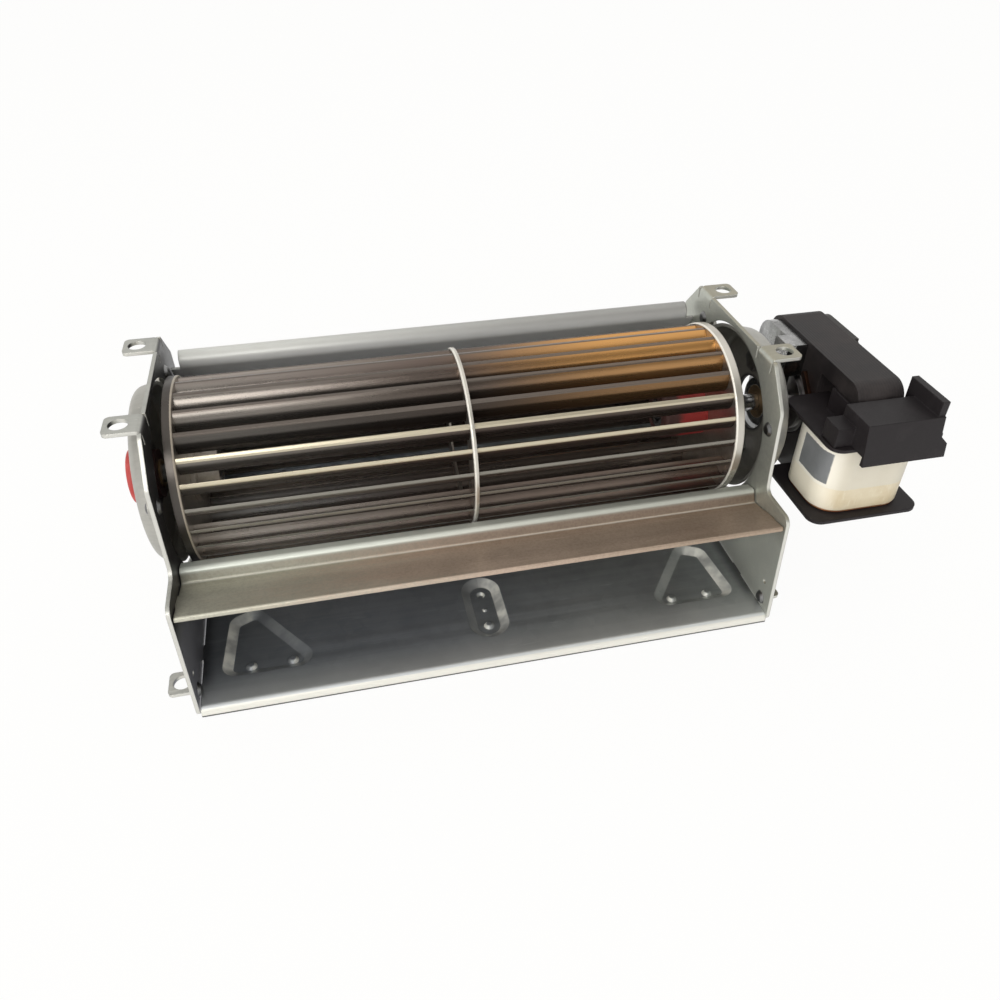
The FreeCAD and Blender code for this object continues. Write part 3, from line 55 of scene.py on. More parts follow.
DISC_RIM_RADIUS = (0.0292, 0.0295)
HUB_OIL_START = (0.0, 0.01)
HUB_OIL_END = (0.0735, 0.0765)
GROMMET_INSIDE_START = (-0.1005, -0.0995)
GROMMET_INSIDE_END = (-0.06, -0.05)
PAPER_EDGE_HIGH = (-0.0404, -0.04)
FIELD_HIGH = (-0.0388, -0.0272)
FIELD_DEEP = (-0.0452, -0.0312)
FIELD_END_ALONG = (0.1128, 0.1132)
RUMPLED_HIGH = (-0.0465, -0.042)


class Wire:
    """One output of a shader node that can be used in sums."""

    def __init__(self, finish, socket):
        self.finish = finish
        self.socket = socket

    def sum(self, operation, *others):
        values = {0: self}
        for place, other in enumerate(others, start=1):
            values[place] = other
        return self.finish.add("ShaderNodeMath", {"operation": operation}, values)

    def __add__(self, other):
        return self.sum("ADD", other)

    def __radd__(self, other):
        return self.sum("ADD", other)

    def __sub__(self, other):
        return self.sum("SUBTRACT", other)

    def __rsub__(self, other):
        return self.sum("MULTIPLY_ADD", -1.0, other)

    def __mul__(self, other):
        return self.sum("MULTIPLY", other)

    def __rmul__(self, other):
        return self.sum("MULTIPLY", other)

    def __pow__(self, other):
        return self.sum("POWER", other)

    def __abs__(self):
        return self.sum("ABSOLUTE")

    def ramp(self, low, high, bottom=0.0, top=1.0):
        """Runs smoothly from bottom to top while this goes from low to high."""
        return self.finish.add("ShaderNodeMapRange", {"interpolation_type": "SMOOTHSTEP"}, {
            "Value": self, "From Min": low, "From Max": high, "To Min": bottom, "To Max": top})

    def within(self, low, high, soft):
        """1 between low and high, 0 outside, with soft ends."""
        return self.ramp(low - soft, low) * (1.0 - self.ramp(high, high + soft))


class Finish:
    """A material, or the world, while it is being built."""

    def __init__(self, owner):
        owner.use_nodes = True
        self.owner = owner
        self.tree = owner.node_tree
        self.tree.nodes.clear()

    def add(self, kind, settings=None, sockets=None, out=0):
        node = self.tree.nodes.new(kind)
        for word, value in (settings or {}).items():
            setattr(node, word, value)
        for word, value in (sockets or {}).items():
            if isinstance(value, Wire):
                self.tree.links.new(value.socket, node.inputs[word])
            else:
                node.inputs[word].default_value = value
        return Wire(self, node.outputs[out] if node.outputs else None)

    def place(self):
        """Where the surface is on its piece, in metres. It moves with the piece."""
        return self.add("ShaderNodeTexCoord", out="Object")

    def axes(self, vector):
        split = self.add("ShaderNodeSeparateXYZ", sockets={0: vector}).socket.node
        return [Wire(self, output) for output in split.outputs]

    def from_axis(self):
        """Distance from the line on which the impeller and the motor turn."""
        across, up = self.axes(self.place())[1:]
        return ((across - AXIS[1]) ** 2.0 + (up - AXIS[2]) ** 2.0) ** 0.5

    def facing(self):
        """How far the surface turns towards X, Y and Z of its piece."""
        return self.axes(self.add("ShaderNodeTexCoord", out="Normal"))

    def stretch(self, vector, x, y, z):
        return self.add("ShaderNodeVectorMath", {"operation": "MULTIPLY"},
                        {0: vector, 1: (x, y, z)})

    def noise(self, vector, scale, detail=3.0, rough=0.5):
        return self.add("ShaderNodeTexNoise", sockets={
            "Vector": vector, "Scale": scale, "Detail": detail, "Roughness": rough})

    def cells(self, vector, scale):
        return self.add("ShaderNodeTexVoronoi", sockets={
            "Vector": vector, "Scale": scale}, out="Color")

    def bands(self, vector, scale, direction, distortion=0.0):
        return self.add("ShaderNodeTexWave", {"bands_direction": direction}, {
            "Vector": vector, "Scale": scale, "Distortion": distortion}, out="Fac")

    def blend(self, amount, first, second, mode="MIX"):
        return self.add("ShaderNodeMix", {"data_type": "RGBA", "blend_type": mode}, {
            0: amount, 6: colour(first), 7: colour(second)}, out=2)

    def soften(self, radius):
        """The small rounding that every real edge has."""
        return self.add("ShaderNodeBevel", {"samples": 4}, {"Radius": radius})

    def bump(self, height, strength, distance, normal=None):
        sockets = {"Height": height, "Strength": strength, "Distance": distance}
        if normal is not None:
            sockets["Normal"] = normal
        return self.add("ShaderNodeBump", sockets=sockets)

    def end(self, shader):
        self.add("ShaderNodeOutputMaterial", sockets={"Surface": shader})
        return self.owner

    def surface(self, sockets):
        sockets["Base Color"] = colour(sockets["Base Color"])
        return self.end(self.add("ShaderNodeBsdfPrincipled", sockets=sockets))


def colour(value):
    return value if isinstance(value, Wire) else (*value, 1.0)


def new_finish(name):
    return Finish(bpy.data.materials.new(name))


def sheet_metal(name, light, dark, gloss, metal=0.7, rolling=0.4, spangle=0.25, wear=(),
                edge=0.0005):
    """Rolled sheet: marks along X, blotches, scratches and the crystals of its zinc.
    wear holds what years of air and handling did to one part of it."""
    finish = new_finish(name)
    place = finish.place()
    rolled = finish.noise(finish.stretch(place, 10.0, 700.0, 700.0), 1.0, 4.0, 0.6)
    blotch = finish.noise(place, 40.0, 5.0, 0.6)
    fine = finish.noise(place, 1500.0, 2.0)
    scratched = finish.noise(finish.stretch(place, 40.0, 300.0, 2200.0), 1.0, 2.0, 0.7)
    marks = scratched.ramp(0.65, 0.72)
    crystal = finish.axes(finish.cells(place, 300.0))[0]
    tone = blotch.ramp(0.32, 0.7) * (1.0 - rolling) + rolled.ramp(0.3, 0.7) * rolling
    tone = tone * (1.0 - spangle) + crystal * spangle
    shade = finish.blend(tone, dark, light)
    shade = finish.blend(marks * 0.3, shade, [min(1.0, part * 1.35) for part in light])
    rough = gloss + (blotch - 0.5) * 0.2 + (rolled - 0.5) * 0.14 - marks * 0.05
    for worn in wear:
        shade, metal = worn(finish, shade, metal)
    height = rolled * rolling + fine * 0.12 + marks * 0.2 + blotch * 0.3
    normal = finish.bump(height, 0.35, 0.00007, finish.soften(edge))
    return finish.surface({"Base Color": shade, "Metallic": metal, "Roughness": rough,
                           "Normal": normal})


def bare_cut_edges(finish, shade, metal):
    """The sheared edges of a side plate, where the steel shows."""
    side, _, up = finish.facing()
    rim = (1.0 - abs(side).ramp(0.35, 0.8)) * (1.0 - up.ramp(0.5, 0.9))
    return finish.blend(rim * 0.75, shade, (0.72, 0.71, 0.66)), metal


def painted_shade_inner_face(finish, shade, metal):
    """Painted shade on the left plate's inner face: nearly black beside the impeller, and a
    bluish painted shade lower down in the outlet.
    """
    high = finish.axes(finish.place())[2]
    inward = finish.facing()[0].ramp(0.5, 0.9)
    beside = high.ramp(*PLATE_STEP_HIGH)
    shade = finish.blend(inward * beside, shade, (0.1, 0.095, 0.105), "MULTIPLY")
    # Bluish painted shade on the inner face in the outlet.
    painted_shade_in_outlet = inward * (1.0 - beside)
    return finish.blend(painted_shade_in_outlet, shade, (0.5, 0.5, 0.6), "MULTIPLY"), metal - painted_shade_in_outlet * 0.2


def painted_light_outlet_wall(finish, shade, metal):
    """Painted light on the right plate's inner face, below the roof of the outlet."""
    high = finish.axes(finish.place())[2]
    below = 1.0 - high.ramp(*OUTLET_ROOF_HIGH)
    painted_light_below_roof = (-1.0 * finish.facing()[0]).ramp(0.5, 0.9) * below
    # Painted light: the inner face below the outlet roof is blended lighter.
    return finish.blend(painted_light_below_roof * 0.5, shade, (0.85, 0.88, 0.8)), metal


def fingered_tabs(finish, shade, metal):
    """A brownish film on the tabs' upper faces."""
    return finish.blend(finish.facing()[2].ramp(0.6, 0.9), shade, (0.78, 0.72, 0.64),
                        "MULTIPLY"), metal


def greasy_bore(finish, shade, metal):
    """Dark grease round the bore that the shaft goes through."""
    grease = 1.0 - finish.from_axis().ramp(*SUPPORT_BORE_RADIUS)
    return finish.blend(grease * 0.9, shade, (0.03, 0.027, 0.025)), metal - grease * 0.4


def painted_light_bead(finish, shade, metal):
    """Painted light on the bead along the back: lighter at its left end, and lightest where it
    faces down.
    """
    along, deep, high = finish.axes(finish.place())
    bead_painted_light = deep.ramp(*BEAD_DEEP) * high.ramp(*BEAD_HIGH)
    below = 1.0 - finish.facing()[2].ramp(-0.3, 0.8)
    # Painted light, lighter towards the left end and on the bead's underside.
    bead_painted_tone = finish.blend(along.ramp(-0.09, 0.06), (0.72, 0.72, 0.67), (0.33, 0.32, 0.3))
    bead_painted_tone = finish.blend(below, bead_painted_tone, (0.8, 0.8, 0.78))
    return finish.blend(bead_painted_light * 0.8, shade, bead_painted_tone), metal - bead_painted_light * 0.5


def painted_light_and_shade_floor(finish, shade, metal):
    """Painted light and shade on the floor: painted shade deeper in, darker and bluer towards
    the left end, painted highlights on the recesses' outer slopes and along the curl, painted
    light near the front edge, and painted shade on the curl's cut side and along both side
    plates."""
    along, deep, high = finish.axes(finish.place())
    # Bluish painted shade deeper into the outlet, its edge made uneven by noise.
    shade_edge_wobble = finish.noise(finish.stretch(finish.place(), 8.0, 40.0, 40.0), 1.0, 3.0)
    inward = (deep + (shade_edge_wobble - 0.5) * 0.02).ramp(-0.052, -0.03)
    shade = finish.blend(inward * 0.3, shade, (0.45, 0.47, 0.52), "MULTIPLY")
    # Darker and bluer towards the left end.
    shade = finish.blend(along.ramp(-0.03, 0.05), finish.blend(
        1.0, shade, (0.72, 0.73, 0.8), "MULTIPLY"), shade)
    forward, down = -1.0 * deep, -1.0 * high
    # Painted highlights on the outer slopes of the recesses, patchy and strongest on the slopes
    # that face outward.
    slope = 1.0 - finish.facing()[2].ramp(0.8, 0.97)
    painted_highlight_slopes = slope * forward.within(*RECESSES_FORWARD, 0.0005) * down.ramp(*RECESSES_DOWN)
    patchy = finish.noise(finish.place(), 110.0, 3.0, 0.6).ramp(0.35, 0.65, 0.4, 1.0)
    outward = finish.facing()[0] * along.ramp(-0.05, -0.03, 1.0, -1.0)
    outer = outward.ramp(-0.05, 0.4, 0.22, 1.0)
    painted_highlight_slopes = painted_highlight_slopes * patchy * outer
    shade = finish.blend(painted_highlight_slopes, shade, (0.92, 0.92, 0.84))
    # Painted shade along both side plates, and on the scroll's ends where they meet the plates.
    painted_shade_seam = abs(along).ramp(*SEAM_ALONG) * down.ramp(*SEAM_DOWN)
    painted_shade_seam = painted_shade_seam * (1.0 - forward.ramp(*SEAM_FORWARD))
    shade = finish.blend(painted_shade_seam * 0.8, shade, (0.06, 0.06, 0.065))
    painted_shade_ends = abs(finish.facing()[0]).ramp(0.8, 0.95)
    shade = finish.blend(painted_shade_ends, shade, (0.05, 0.05, 0.052))
    # Painted light on the floor near its front edge.
    painted_light_front = forward.ramp(*FLOOR_EDGE_FORWARD)
    shade = finish.blend(painted_light_front * 0.45, shade, (0.86, 0.88, 0.86))
    curl = forward.ramp(*CURL_FORWARD)
    # A painted highlight along the curl, and below it painted shade on the curl's cut side.
    painted_highlight = curl * down.within(*CURL_PAINTED_HIGHLIGHT_DOWN, 0.0003)
    shade = finish.blend(painted_highlight, shade, (0.72, 0.71, 0.65))
    shade = finish.blend(curl * down.ramp(*CURL_CUT_DOWN), shade, (0.07, 0.07, 0.065))
    return shade, metal - curl * 0.5 - painted_highlight_slopes * 0.55


def grain_and_painted_light_strip(finish, shade, metal):
    """Grain of old zinc, with painted light and shade on it: painted light on the ridge, a brown
    painted reflection and painted shade that deepen towards the motor, painted shade in the fold
    and a painted highlight beyond it.
    """
    along, deep = finish.axes(finish.place())[:2]
    tint = finish.noise(finish.stretch(finish.place(), 12.0, 90.0, 90.0), 1.0, 4.0, 0.6)
    grain = finish.noise(finish.place(), 1100.0, 3.0, 0.75)
    shade = finish.blend(grain.ramp(0.4, 0.56), finish.blend(
        1.0, shade, (0.89, 0.87, 0.87), "MULTIPLY"), shade)
    # A brown painted reflection on the right part of the strip.
    painted_reflection_brown = (along + (tint - 0.5) * 0.13 + (grain - 0.5) * 0.08).ramp(-0.085, -0.005)
    shade = finish.blend(painted_reflection_brown, shade, (0.95, 0.76, 0.72), "MULTIPLY")
    # Painted shade, darker towards the motor end.
    shade = finish.blend(along.ramp(-0.02, 0.085), shade, (0.8, 0.79, 0.76), "MULTIPLY")
    ridge = deep.within(*RIDGE_DEEP, 0.0006)
    # Painted light on the ridge, lightest at the left end.
    pale = finish.blend(along.ramp(-0.08, 0.08), (0.74, 0.78, 0.71), (0.46, 0.49, 0.44))
    shade = finish.blend(ridge * 0.85, shade, pale)
    # Painted shade in the fold, and a painted highlight just in front of it.
    painted_shade_fold = deep.within(*FOLD_DEEP, 0.0003)
    shade = finish.blend(painted_shade_fold * 0.6, shade, (0.4, 0.4, 0.4), "MULTIPLY")
    painted_highlight = deep.within(*PAINTED_HIGHLIGHT_DEEP, 0.0002)
    return finish.blend(painted_highlight * 0.5, shade, (0.8, 0.8, 0.72)), metal - ridge * 0.4


def rolled_blade(name, face_tone_with_painted_light, edge, lip_width=0.0002, straw=0.0):
    """Thin rolled strip with a sheared edge outside, darker towards its motor end as painted
    shade. The second argument is how light its face is, which differs from blade to blade as
    painted light and shade; edge is the colour of its outer lip, a painted highlight where it is
    light; straw is how strong a straw-coloured painted reflection is on its motor end."""
    finish = new_finish(name)
    place = finish.place()
    along = finish.axes(place)[0]
    radius = finish.from_axis()
    rolled = finish.noise(finish.stretch(place, 12.0, 900.0, 900.0), 1.0, 4.0, 0.6)
    smear = finish.noise(finish.stretch(place, 22.0, 150.0, 150.0), 1.0, 4.0, 0.6)
    tint = finish.noise(finish.stretch(place, 9.0, 70.0, 70.0), 1.0, 3.0)
    tone = rolled.ramp(0.3, 0.7) * 0.5 + smear.ramp(0.3, 0.7) * 0.5
    shade = finish.blend(tone, [0.7 * face_tone_with_painted_light, 0.63 * face_tone_with_painted_light, 0.56 * face_tone_with_painted_light],
                         [face_tone_with_painted_light, 0.92 * face_tone_with_painted_light, 0.82 * face_tone_with_painted_light])
    shade = finish.blend(tint.ramp(0.45, 0.7) * 0.5, shade, (0.94, 0.84, 0.86), "MULTIPLY")
    # Painted shade: every blade darker towards its motor end.
    shade = finish.blend(along.ramp(-0.08, 0.0), shade, (0.52, 0.45, 0.42), "MULTIPLY")
    # A straw-coloured painted reflection at the motor end.
    if straw:
        golden = (along + (tint - 0.5) * 0.04).ramp(-0.005, 0.055) * straw
        shade = finish.blend(golden, shade, (0.66, 0.34, 0.11))
    # The outer lip takes the edge colour: a painted highlight on the blades where it is light.
    lip = radius.ramp(*[edge_radius - lip_width for edge_radius in BLADE_EDGE_RADIUS])
    shade = finish.blend(lip * 0.9, shade, edge)
    rough = 0.28 + (smear - 0.5) * 0.22 + (rolled - 0.5) * 0.12
    height = rolled * 0.7 + smear * 0.4
    normal = finish.bump(height, 0.15, 0.00006, finish.soften(0.00015))
    return finish.surface({"Base Color": shade, "Metallic": 0.85 - lip * 0.25,
                           "Roughness": rough, "Normal": normal})


def pressed_disc(name, rim, band):
    """Bright aluminium with a rounded rim and a band round it. The band is painted shade where
    it is dark, and the crown of the rim a painted highlight where it is light.
    """
    finish = new_finish(name)
    place = finish.place()
    blotch = finish.noise(place, 60.0, 5.0, 0.6)
    turned = finish.noise(place, 900.0, 3.0, 0.6)
    shade = finish.blend(blotch.ramp(0.3, 0.7), (0.36, 0.32, 0.28), (0.52, 0.48, 0.42))
    shade = finish.blend(turned.ramp(0.4, 0.75, 0.0, 0.3), shade, (0.62, 0.59, 0.53))
    radius = finish.from_axis()
    side = abs(finish.facing()[0])
    outside = radius.ramp(*DISC_RIM_RADIUS)
    shade = finish.blend(outside * (1.0 - side.ramp(0.08, 0.4)) * 0.9, shade, band)
    crown = outside * side.within(0.15, 0.9, 0.1)
    shade = finish.blend(crown * 0.9, shade, rim)
    rough = 0.3 + (blotch - 0.5) * 0.2 + crown * 0.08
    normal = finish.bump(turned * 0.5 + blotch * 0.5, 0.35, 0.00008, finish.soften(0.0004))
    return finish.surface({"Base Color": shade, "Metallic": 0.9 - crown * 0.3,
                           "Roughness": rough, "Normal": normal})


def moulded_plastic(name, tone, grain=0.35):
    """Black nylon with fine pores and dust on it."""
    finish = new_finish(name)
    place = finish.place()
    pores = finish.noise(place, 2600.0, 3.0, 0.6)
    dust = finish.noise(place, 90.0, 5.0, 0.65)
    dusty = [part * 2.2 + 0.006 for part in tone]
    shade = finish.blend(dust.ramp(0.5, 0.8, 0.0, 0.6), tone, dusty)
    rough = 0.48 + (dust - 0.5) * 0.3 + (pores - 0.5) * 0.1
    normal = finish.bump(pores, grain, 0.00008, finish.soften(0.0005))
    return finish.surface({"Base Color": shade, "Roughness": rough, "Normal": normal,
                           "Specular IOR Level": 0.22})


def black_laminations(name):
    """Varnished steel sheets: every second joint shows as a fine line round the stack."""
    finish = new_finish(name)
    place = finish.place()
    side = 1.0 - abs(finish.facing()[0]).ramp(0.5, 0.8)
    leaf = finish.bands(place, 314.0, "X", 0.15)
    grime = finish.noise(place, 75.0, 5.0, 0.65)
    fine = finish.noise(place, 1500.0, 2.0)
    shade = finish.blend(grime.ramp(0.35, 0.75), (0.011, 0.009, 0.0095), (0.036, 0.03, 0.029))
    shade = finish.blend(leaf.ramp(0.75, 1.0) * side * 0.2, shade, (0.055, 0.046, 0.044))
    rough = 0.48 + (grime - 0.5) * 0.35 + leaf * side * 0.1
    height = leaf * side * 0.35 + fine * 0.25 + grime * 0.3
    normal = finish.bump(height, 0.45, 0.00011, finish.soften(0.0004))
    return finish.surface({"Base Color": shade, "Roughness": rough, "Normal": normal,
                           "Specular IOR Level": 0.3})


def moulded_rubber(name, tone):
    """Rubber with a pale bloom, black with oil where the hub and the grommet hold a shaft."""
    finish = new_finish(name)
    place = finish.place()
    skin = finish.noise(place, 700.0, 4.0, 0.6)
    bloom = finish.noise(place, 140.0, 4.0, 0.6)
    pale = [min(1.0, part * 1.25 + 0.05) for part in tone]
    shade = finish.blend(bloom.ramp(0.45, 0.75, 0.0, 0.6), tone, pale)
    along = finish.axes(place)[0]
    uneven = along + (bloom - 0.5) * 0.004
    oily = along.ramp(*HUB_OIL_START) * (1.0 - uneven.ramp(*HUB_OIL_END))
    shade = finish.blend(oily * 0.92, shade, (0.05, 0.035, 0.03))
    inside = along.ramp(*GROMMET_INSIDE_START) * (1.0 - along.ramp(*GROMMET_INSIDE_END))
    shade = finish.blend(inside * 0.9, shade, (0.03, 0.02, 0.02))
    rough = 0.5 + (bloom - 0.5) * 0.3
    normal = finish.bump(skin, 0.35, 0.0001, finish.soften(0.0004))
    return finish.surface({"Base Color": shade, "Roughness": rough, "Normal": normal})


def coil_tape(name):
    """Cream tape round the coil, a paper label on it and a plain grey field on the label;
    painted light makes the faces turned left lighter.
    """
    finish = new_finish(name)
    place = finish.place()
    along, deep, up = finish.axes(place)
    fibres = finish.noise(finish.stretch(place, 900.0, 900.0, 260.0), 1.0, 4.0, 0.6)
    stain = finish.noise(place, 70.0, 5.0, 0.55)
    wrinkle = finish.noise(finish.stretch(place, 60.0, 60.0, 300.0), 1.0, 4.0, 0.65)
    crumple = finish.noise(finish.stretch(place, 160.0, 160.0, 420.0), 1.0, 4.0, 0.6)
    shade = finish.blend(stain.ramp(0.35, 0.8), (0.66, 0.59, 0.44), (0.53, 0.43, 0.27))
    shade = finish.blend(fibres.ramp(0.5, 0.8, 0.0, 0.35), shade, (0.78, 0.75, 0.64))
    # Painted light on the faces turned to the left, on the tape and on the paper.
    painted_light_left_faces = (-1.0 * finish.facing()[0]).ramp(0.2, 0.9)
    shade = finish.blend(painted_light_left_faces * 0.8, shade, (0.92, 0.86, 0.72))
    ragged = (fibres - 0.5) * 0.0006
    paper = (up + ragged).ramp(*PAPER_EDGE_HIGH)
    shade = finish.blend(paper * 0.75, shade, finish.blend(
        painted_light_left_faces, (0.6, 0.57, 0.49), (0.88, 0.85, 0.76)))
    printed = ((up + ragged).within(*FIELD_HIGH, 0.0003)
               * (1.0 - (along + ragged).ramp(*FIELD_END_ALONG))
               * (deep + ragged).within(*FIELD_DEEP, 0.0003))
    ink = finish.blend(stain.ramp(0.3, 0.7), (0.085, 0.095, 0.11), (0.15, 0.16, 0.175))
    shade = finish.blend(printed * 0.93, shade, ink)
    rough = 0.5 + (stain - 0.5) * 0.25 - printed * 0.1
    rumpled = (1.0 - up.ramp(*RUMPLED_HIGH)) * crumple
    normal = finish.bump(wrinkle * 0.6 + fibres * 0.15 + rumpled * 1.4 + paper * 0.25, 0.5,
                         0.0004, finish.soften(0.0004))
    return finish.surface({"Base Color": shade, "Roughness": rough, "Normal": normal})


def wound_copper(name):
    """Varnished wire laid turn on turn."""
    finish = new_finish(name)
    place = finish.place()
    turn = finish.bands(place, 1100.0, "Z", 0.6)
    varnish = finish.noise(place, 160.0, 4.0, 0.6)
    shade = finish.blend(varnish.ramp(0.3, 0.75), (0.28, 0.1, 0.04), (0.55, 0.24, 0.1))
    normal = finish.bump(turn, 0.7, 0.00015)
    rough = 0.34 + (varnish - 0.5) * 0.25
    return finish.surface({"Base Color": shade, "Metallic": 0.75, "Roughness": rough,
                           "Normal": normal})


def cast_metal(name, light, dark, gloss):
    """A small metal part with grime and a fine skin."""
    finish = new_finish(name)
    place = finish.place()
    skin = finish.noise(place, 420.0, 5.0, 0.65)
    grime = finish.noise(place, 90.0, 5.0, 0.6)
    shade = finish.blend(grime.ramp(0.35, 0.7), dark, light)
    shade = finish.blend(skin.ramp(0.55, 0.75, 0.0, 0.35), shade, [part * 0.55 for part in dark])
    rough = gloss + (grime - 0.5) * 0.3
    normal = finish.bump(skin, 0.4, 0.00015, finish.soften(0.0004))
    return finish.surface({"Base Color": shade, "Metallic": 1.0, "Roughness": rough,
                           "Normal": normal})


def dress(names, material):
    for name in names:
        node = nodes[name]
        node.data.materials.clear()
        node.data.materials.append(material)


def dress_housing():
    dress(["scroll_housing"], sheet_metal(
        "zinc_coated_scroll", (0.48, 0.505, 0.5), (0.335, 0.36, 0.36), 0.36, edge=0.0009,
        wear=(painted_light_and_shade_floor, painted_light_bead)))
    dress(["stabiliser"], sheet_metal(
        "zinc_coated_strip", (0.585, 0.575, 0.48), (0.47, 0.46, 0.375), 0.4, metal=0.6,
        spangle=0.2, wear=(grain_and_painted_light_strip,)))
    dress(["left_side_plate"], sheet_metal(
        "zinc_coated_plate_left", (0.5, 0.5, 0.46), (0.36, 0.365, 0.34), 0.38,
        wear=(painted_shade_inner_face, bare_cut_edges)))
    dress(["right_side_plate"], sheet_metal(
        "zinc_coated_plate_right", (0.54, 0.555, 0.49), (0.39, 0.4, 0.36), 0.38,
        wear=(fingered_tabs, painted_light_outlet_wall, bare_cut_edges)))
    dress(["bearing_support", "motor_support"], sheet_metal(
        "zinc_coated_support", (0.48, 0.47, 0.43), (0.35, 0.345, 0.32), 0.42, spangle=0.2,
        wear=(greasy_bore,)))


def dress_impeller():
    """The upper blades each get a tone of their own, as painted light and shade, and a
    straw-coloured painted reflection at their motor end.
    """
    # Each upper blade's tone and straw amount are painted light, shade and reflection for where
    # the blade sits.
    upper_blades = {"blade_05": (0.36, 0.9), "blade_06": (0.3, 0.9), "blade_07": (0.28, 0.9),
                    "blade_08": (0.22, 0.55), "blade_09": (0.11, 0.25)}
    for name, (face_tone_with_painted_light, straw) in upper_blades.items():
        dress([name], rolled_blade("painted_light_" + name, face_tone_with_painted_light, (0.12, 0.1, 0.085), straw=straw))
    # Blades 10 and 11 carry a painted highlight on their lip.
    dress(["blade_10"], rolled_blade(
        "wide_painted_highlight_blade", 0.2, (0.56, 0.5, 0.37), lip_width=0.00035))
    dress(["blade_11"], rolled_blade("painted_highlight_blade", 0.2, (0.6, 0.54, 0.4)))
    all_blades = ["blade_%02d" % number for number in range(1, 25)]
    others = [*upper_blades, "blade_10", "blade_11"]
    dress([name for name in all_blades if name not in others],
          rolled_blade("brown_blade", 0.42, (0.22, 0.21, 0.18)))
    # Left disc: a near-black band round the rim as painted shade.
    dress(["left_end_disc"], pressed_disc(
        "left_disc", (0.4, 0.35, 0.28), (0.04, 0.035, 0.032)))
    # Right disc, centre ring and boss: a near-white painted highlight on the rim's crown.
    dress(["right_end_disc", "centre_ring", "left_boss"], pressed_disc(
        "right_disc", (0.9, 0.87, 0.79), (0.62, 0.59, 0.53)))


def dress_motor():
    dress(["stator_stack"], black_laminations("varnished_laminations"))
    dress(["coil_winding"], wound_copper("wound_copper"))
    dress(["coil_wrap"], coil_tape("coil_tape"))
    dress(["coil_bobbin"], moulded_plastic("bobbin_nylon", (0.016, 0.013, 0.0142)))
    dress(["terminal_housing"], moulded_plastic(
        "housing_nylon", (0.017, 0.0145, 0.0155), 0.5))
    dress(["terminals"], cast_metal(
        "tinned_brass", (0.68, 0.64, 0.52), (0.5, 0.45, 0.34), 0.3))
    dress(["shading_rings"], cast_metal(
        "shading_copper", (0.12, 0.055, 0.035), (0.06, 0.03, 0.02), 0.4))
    dress(["inner_bearing_bracket"], cast_metal(
        "cast_zinc", (0.5, 0.5, 0.5), (0.2, 0.2, 0.2), 0.24))
    dress(["outer_bearing_bracket"], cast_metal(
        "blackened_zinc", (0.07, 0.065, 0.062), (0.035, 0.032, 0.03), 0.4))
    dress(["rotor"], cast_metal("turned_rotor", (0.36, 0.35, 0.34), (0.2, 0.19, 0.19), 0.35))


def dress_bearings_and_fasteners():
    dress(["bearing_grommet", "elastic_hub"], moulded_rubber("red_rubber", (0.4, 0.04, 0.035)))
    dress(["end_bearing", "inner_motor_bearing", "outer_motor_bearing"], cast_metal(
        "sintered_bronze", (0.5, 0.36, 0.2), (0.33, 0.22, 0.12), 0.5))
    dress(["stub_shaft", "motor_shaft", "hub_sleeve"], cast_metal(
        "ground_steel", (0.6, 0.6, 0.6), (0.42, 0.42, 0.42), 0.22))
    dress(["left_support_rivets", "right_support_rivets", "corner_rivets", "motor_bolts",
           "motor_nuts"], cast_metal(
        "dull_steel", (0.34, 0.34, 0.34), (0.16, 0.16, 0.16), 0.35))


def floor():
    """A white table top that keeps the object's shadow."""
    mesh = bpy.data.meshes.new("table_top")
    half = 6.0
    corners = [(-half, -half, FLOOR_LEVEL), (half, -half, FLOOR_LEVEL),
               (half, half, FLOOR_LEVEL), (-half, half, FLOOR_LEVEL)]
    mesh.from_pydata(corners, [], [(0, 1, 2, 3)])
    table = bpy.data.objects.new("table_top", mesh)
    bpy.context.scene.collection.objects.link(table)
    finish = new_finish("white_table")
    soft = finish.noise(finish.place(), 3.0)
    paint = finish.blend(soft, (0.86, 0.86, 0.85), (0.9, 0.9, 0.89))
    matt = finish.add("ShaderNodeBsdfDiffuse", sockets={"Color": paint})
    white = finish.add("ShaderNodeEmission", sockets={"Color": (1.0, 0.998, 0.99, 1.0)})
    seen = seen_as_background(finish) * 0.95
    mesh.materials.append(finish.end(finish.add(
        "ShaderNodeMixShader", sockets={0: seen, 1: matt, 2: white})))


def seen_as_background(finish):
    """1 for the rays that show the surroundings, 0 for those that only light the object."""
    kinds = [finish.add("ShaderNodeLightPath", out=word)
             for word in ("Is Camera Ray", "Is Glossy Ray", "Is Transmission Ray")]
    return kinds[0].sum("MAXIMUM", kinds[1]).sum("MAXIMUM", kinds[2])


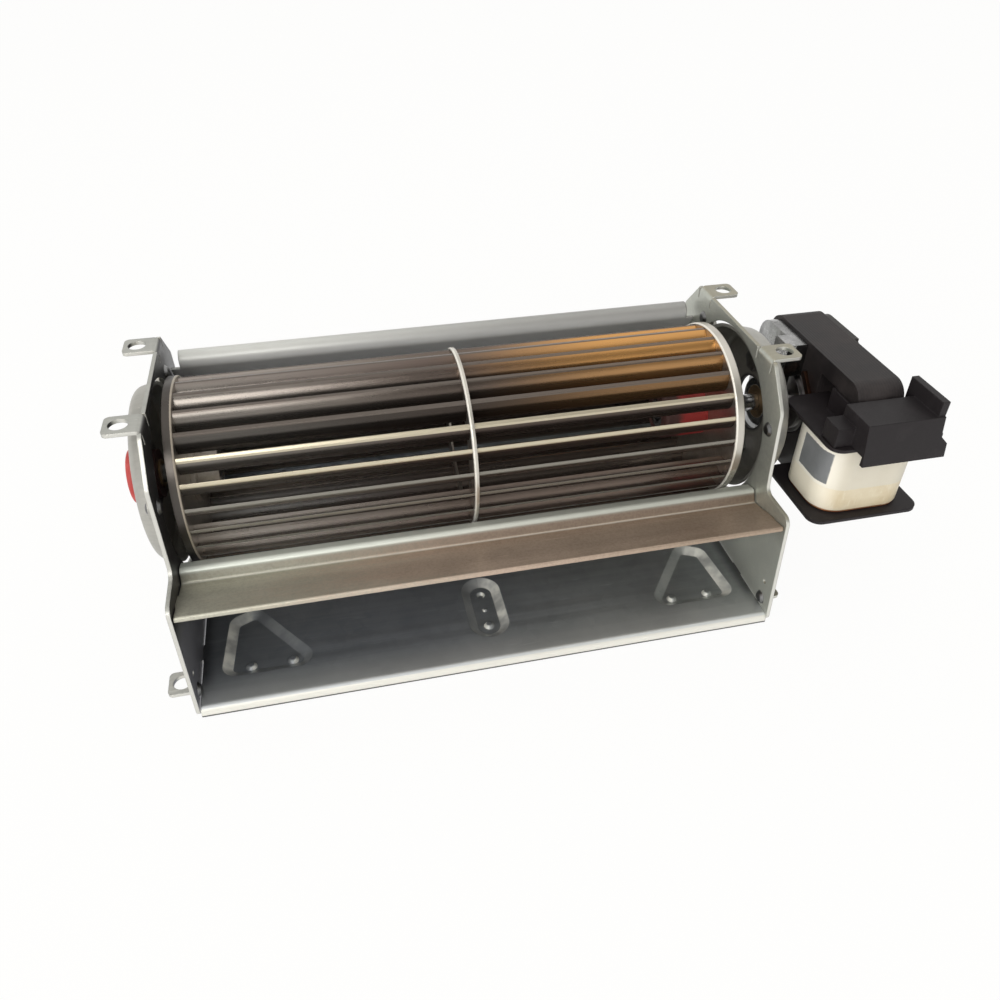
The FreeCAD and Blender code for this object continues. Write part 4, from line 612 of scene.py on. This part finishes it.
def studio():
    """White round about, dimmer overhead and in front of the outlet, with soft boxes."""
    scene = bpy.context.scene
    world = bpy.data.worlds.new("studio")
    scene.world = world
    finish = Finish(world)
    way = finish.axes(finish.add("ShaderNodeTexCoord", out="Generated"))
    front = (-1.0 * way[1]).ramp(0.1, 0.6)
    up = way[2]
    level = up.ramp(0.3, 0.85, 0.9, 0.35)
    backdrop = up.ramp(0.32, 0.6, 1.0, 0.55) - up.ramp(0.25, 0.45) * front * 0.35
    seen = seen_as_background(finish)
    strength = level + (backdrop - level) * seen
    light = finish.add("ShaderNodeBackground", sockets={
        "Color": (1.0, 0.99, 0.97, 1.0), "Strength": strength})
    finish.add("ShaderNodeOutputWorld", sockets={"Surface": light})
    daylight = (1.0, 0.99, 0.97)
    soft_box("ceiling_box", (0.1, 0.35, 1.5), 0.0, size=2.4, power=9.0, tone=daylight)
    fill = soft_box("outlet_box", (-1.0, -1.1, 0.25), -0.05, size=0.9, power=10.0,
                    tone=(1.0, 0.99, 0.98))
    fill.visible_glossy = False
    soft_box("front_box", (-0.3, -0.9, 0.75), -0.04, size=0.5, power=4.0, tone=daylight)
    soft_box("side_lamp", (-0.7, -0.35, 1.0), 0.0, size=0.22, power=1.0, tone=(1.0, 0.96, 0.88))
    scene.view_settings.view_transform = "Standard"


def soft_box(name, place, aim_height, size, power, tone):
    """A square lamp that points at the middle of the fan, at the height given."""
    lamp = bpy.data.lights.new(name, "AREA")
    lamp.size = size
    lamp.energy = power
    lamp.color = tone
    box = bpy.data.objects.new(name, lamp)
    box.location = place
    towards = Vector((0.0, 0.0, aim_height)) - Vector(place)
    box.rotation_euler = towards.to_track_quat("-Z", "Y").to_euler()
    bpy.context.scene.collection.objects.link(box)
    return box


def camera():
    """Stands where the photograph was taken from."""
    view = bpy.data.cameras.new("camera")
    view.sensor_width = 36.0
    view.lens = 30.12
    view.clip_start = 0.01
    view.clip_end = 50.0
    right = Vector((0.97611, -0.21722, 0.00486))
    up = Vector((0.13185, 0.60997, 0.78138))
    back = Vector((-0.1727, -0.76207, 0.62404))
    turn = Matrix((right, up, back)).transposed().to_4x4()
    eye = bpy.data.objects.new("camera", view)
    eye.matrix_world = Matrix.Translation((-0.0400, -0.23499, 0.1284)) @ turn
    bpy.context.scene.collection.objects.link(eye)
    bpy.context.scene.camera = eye


dress_housing()
dress_impeller()
dress_motor()
dress_bearings_and_fasteners()
floor()
studio()
camera()

bpy.context.view_layer.update()
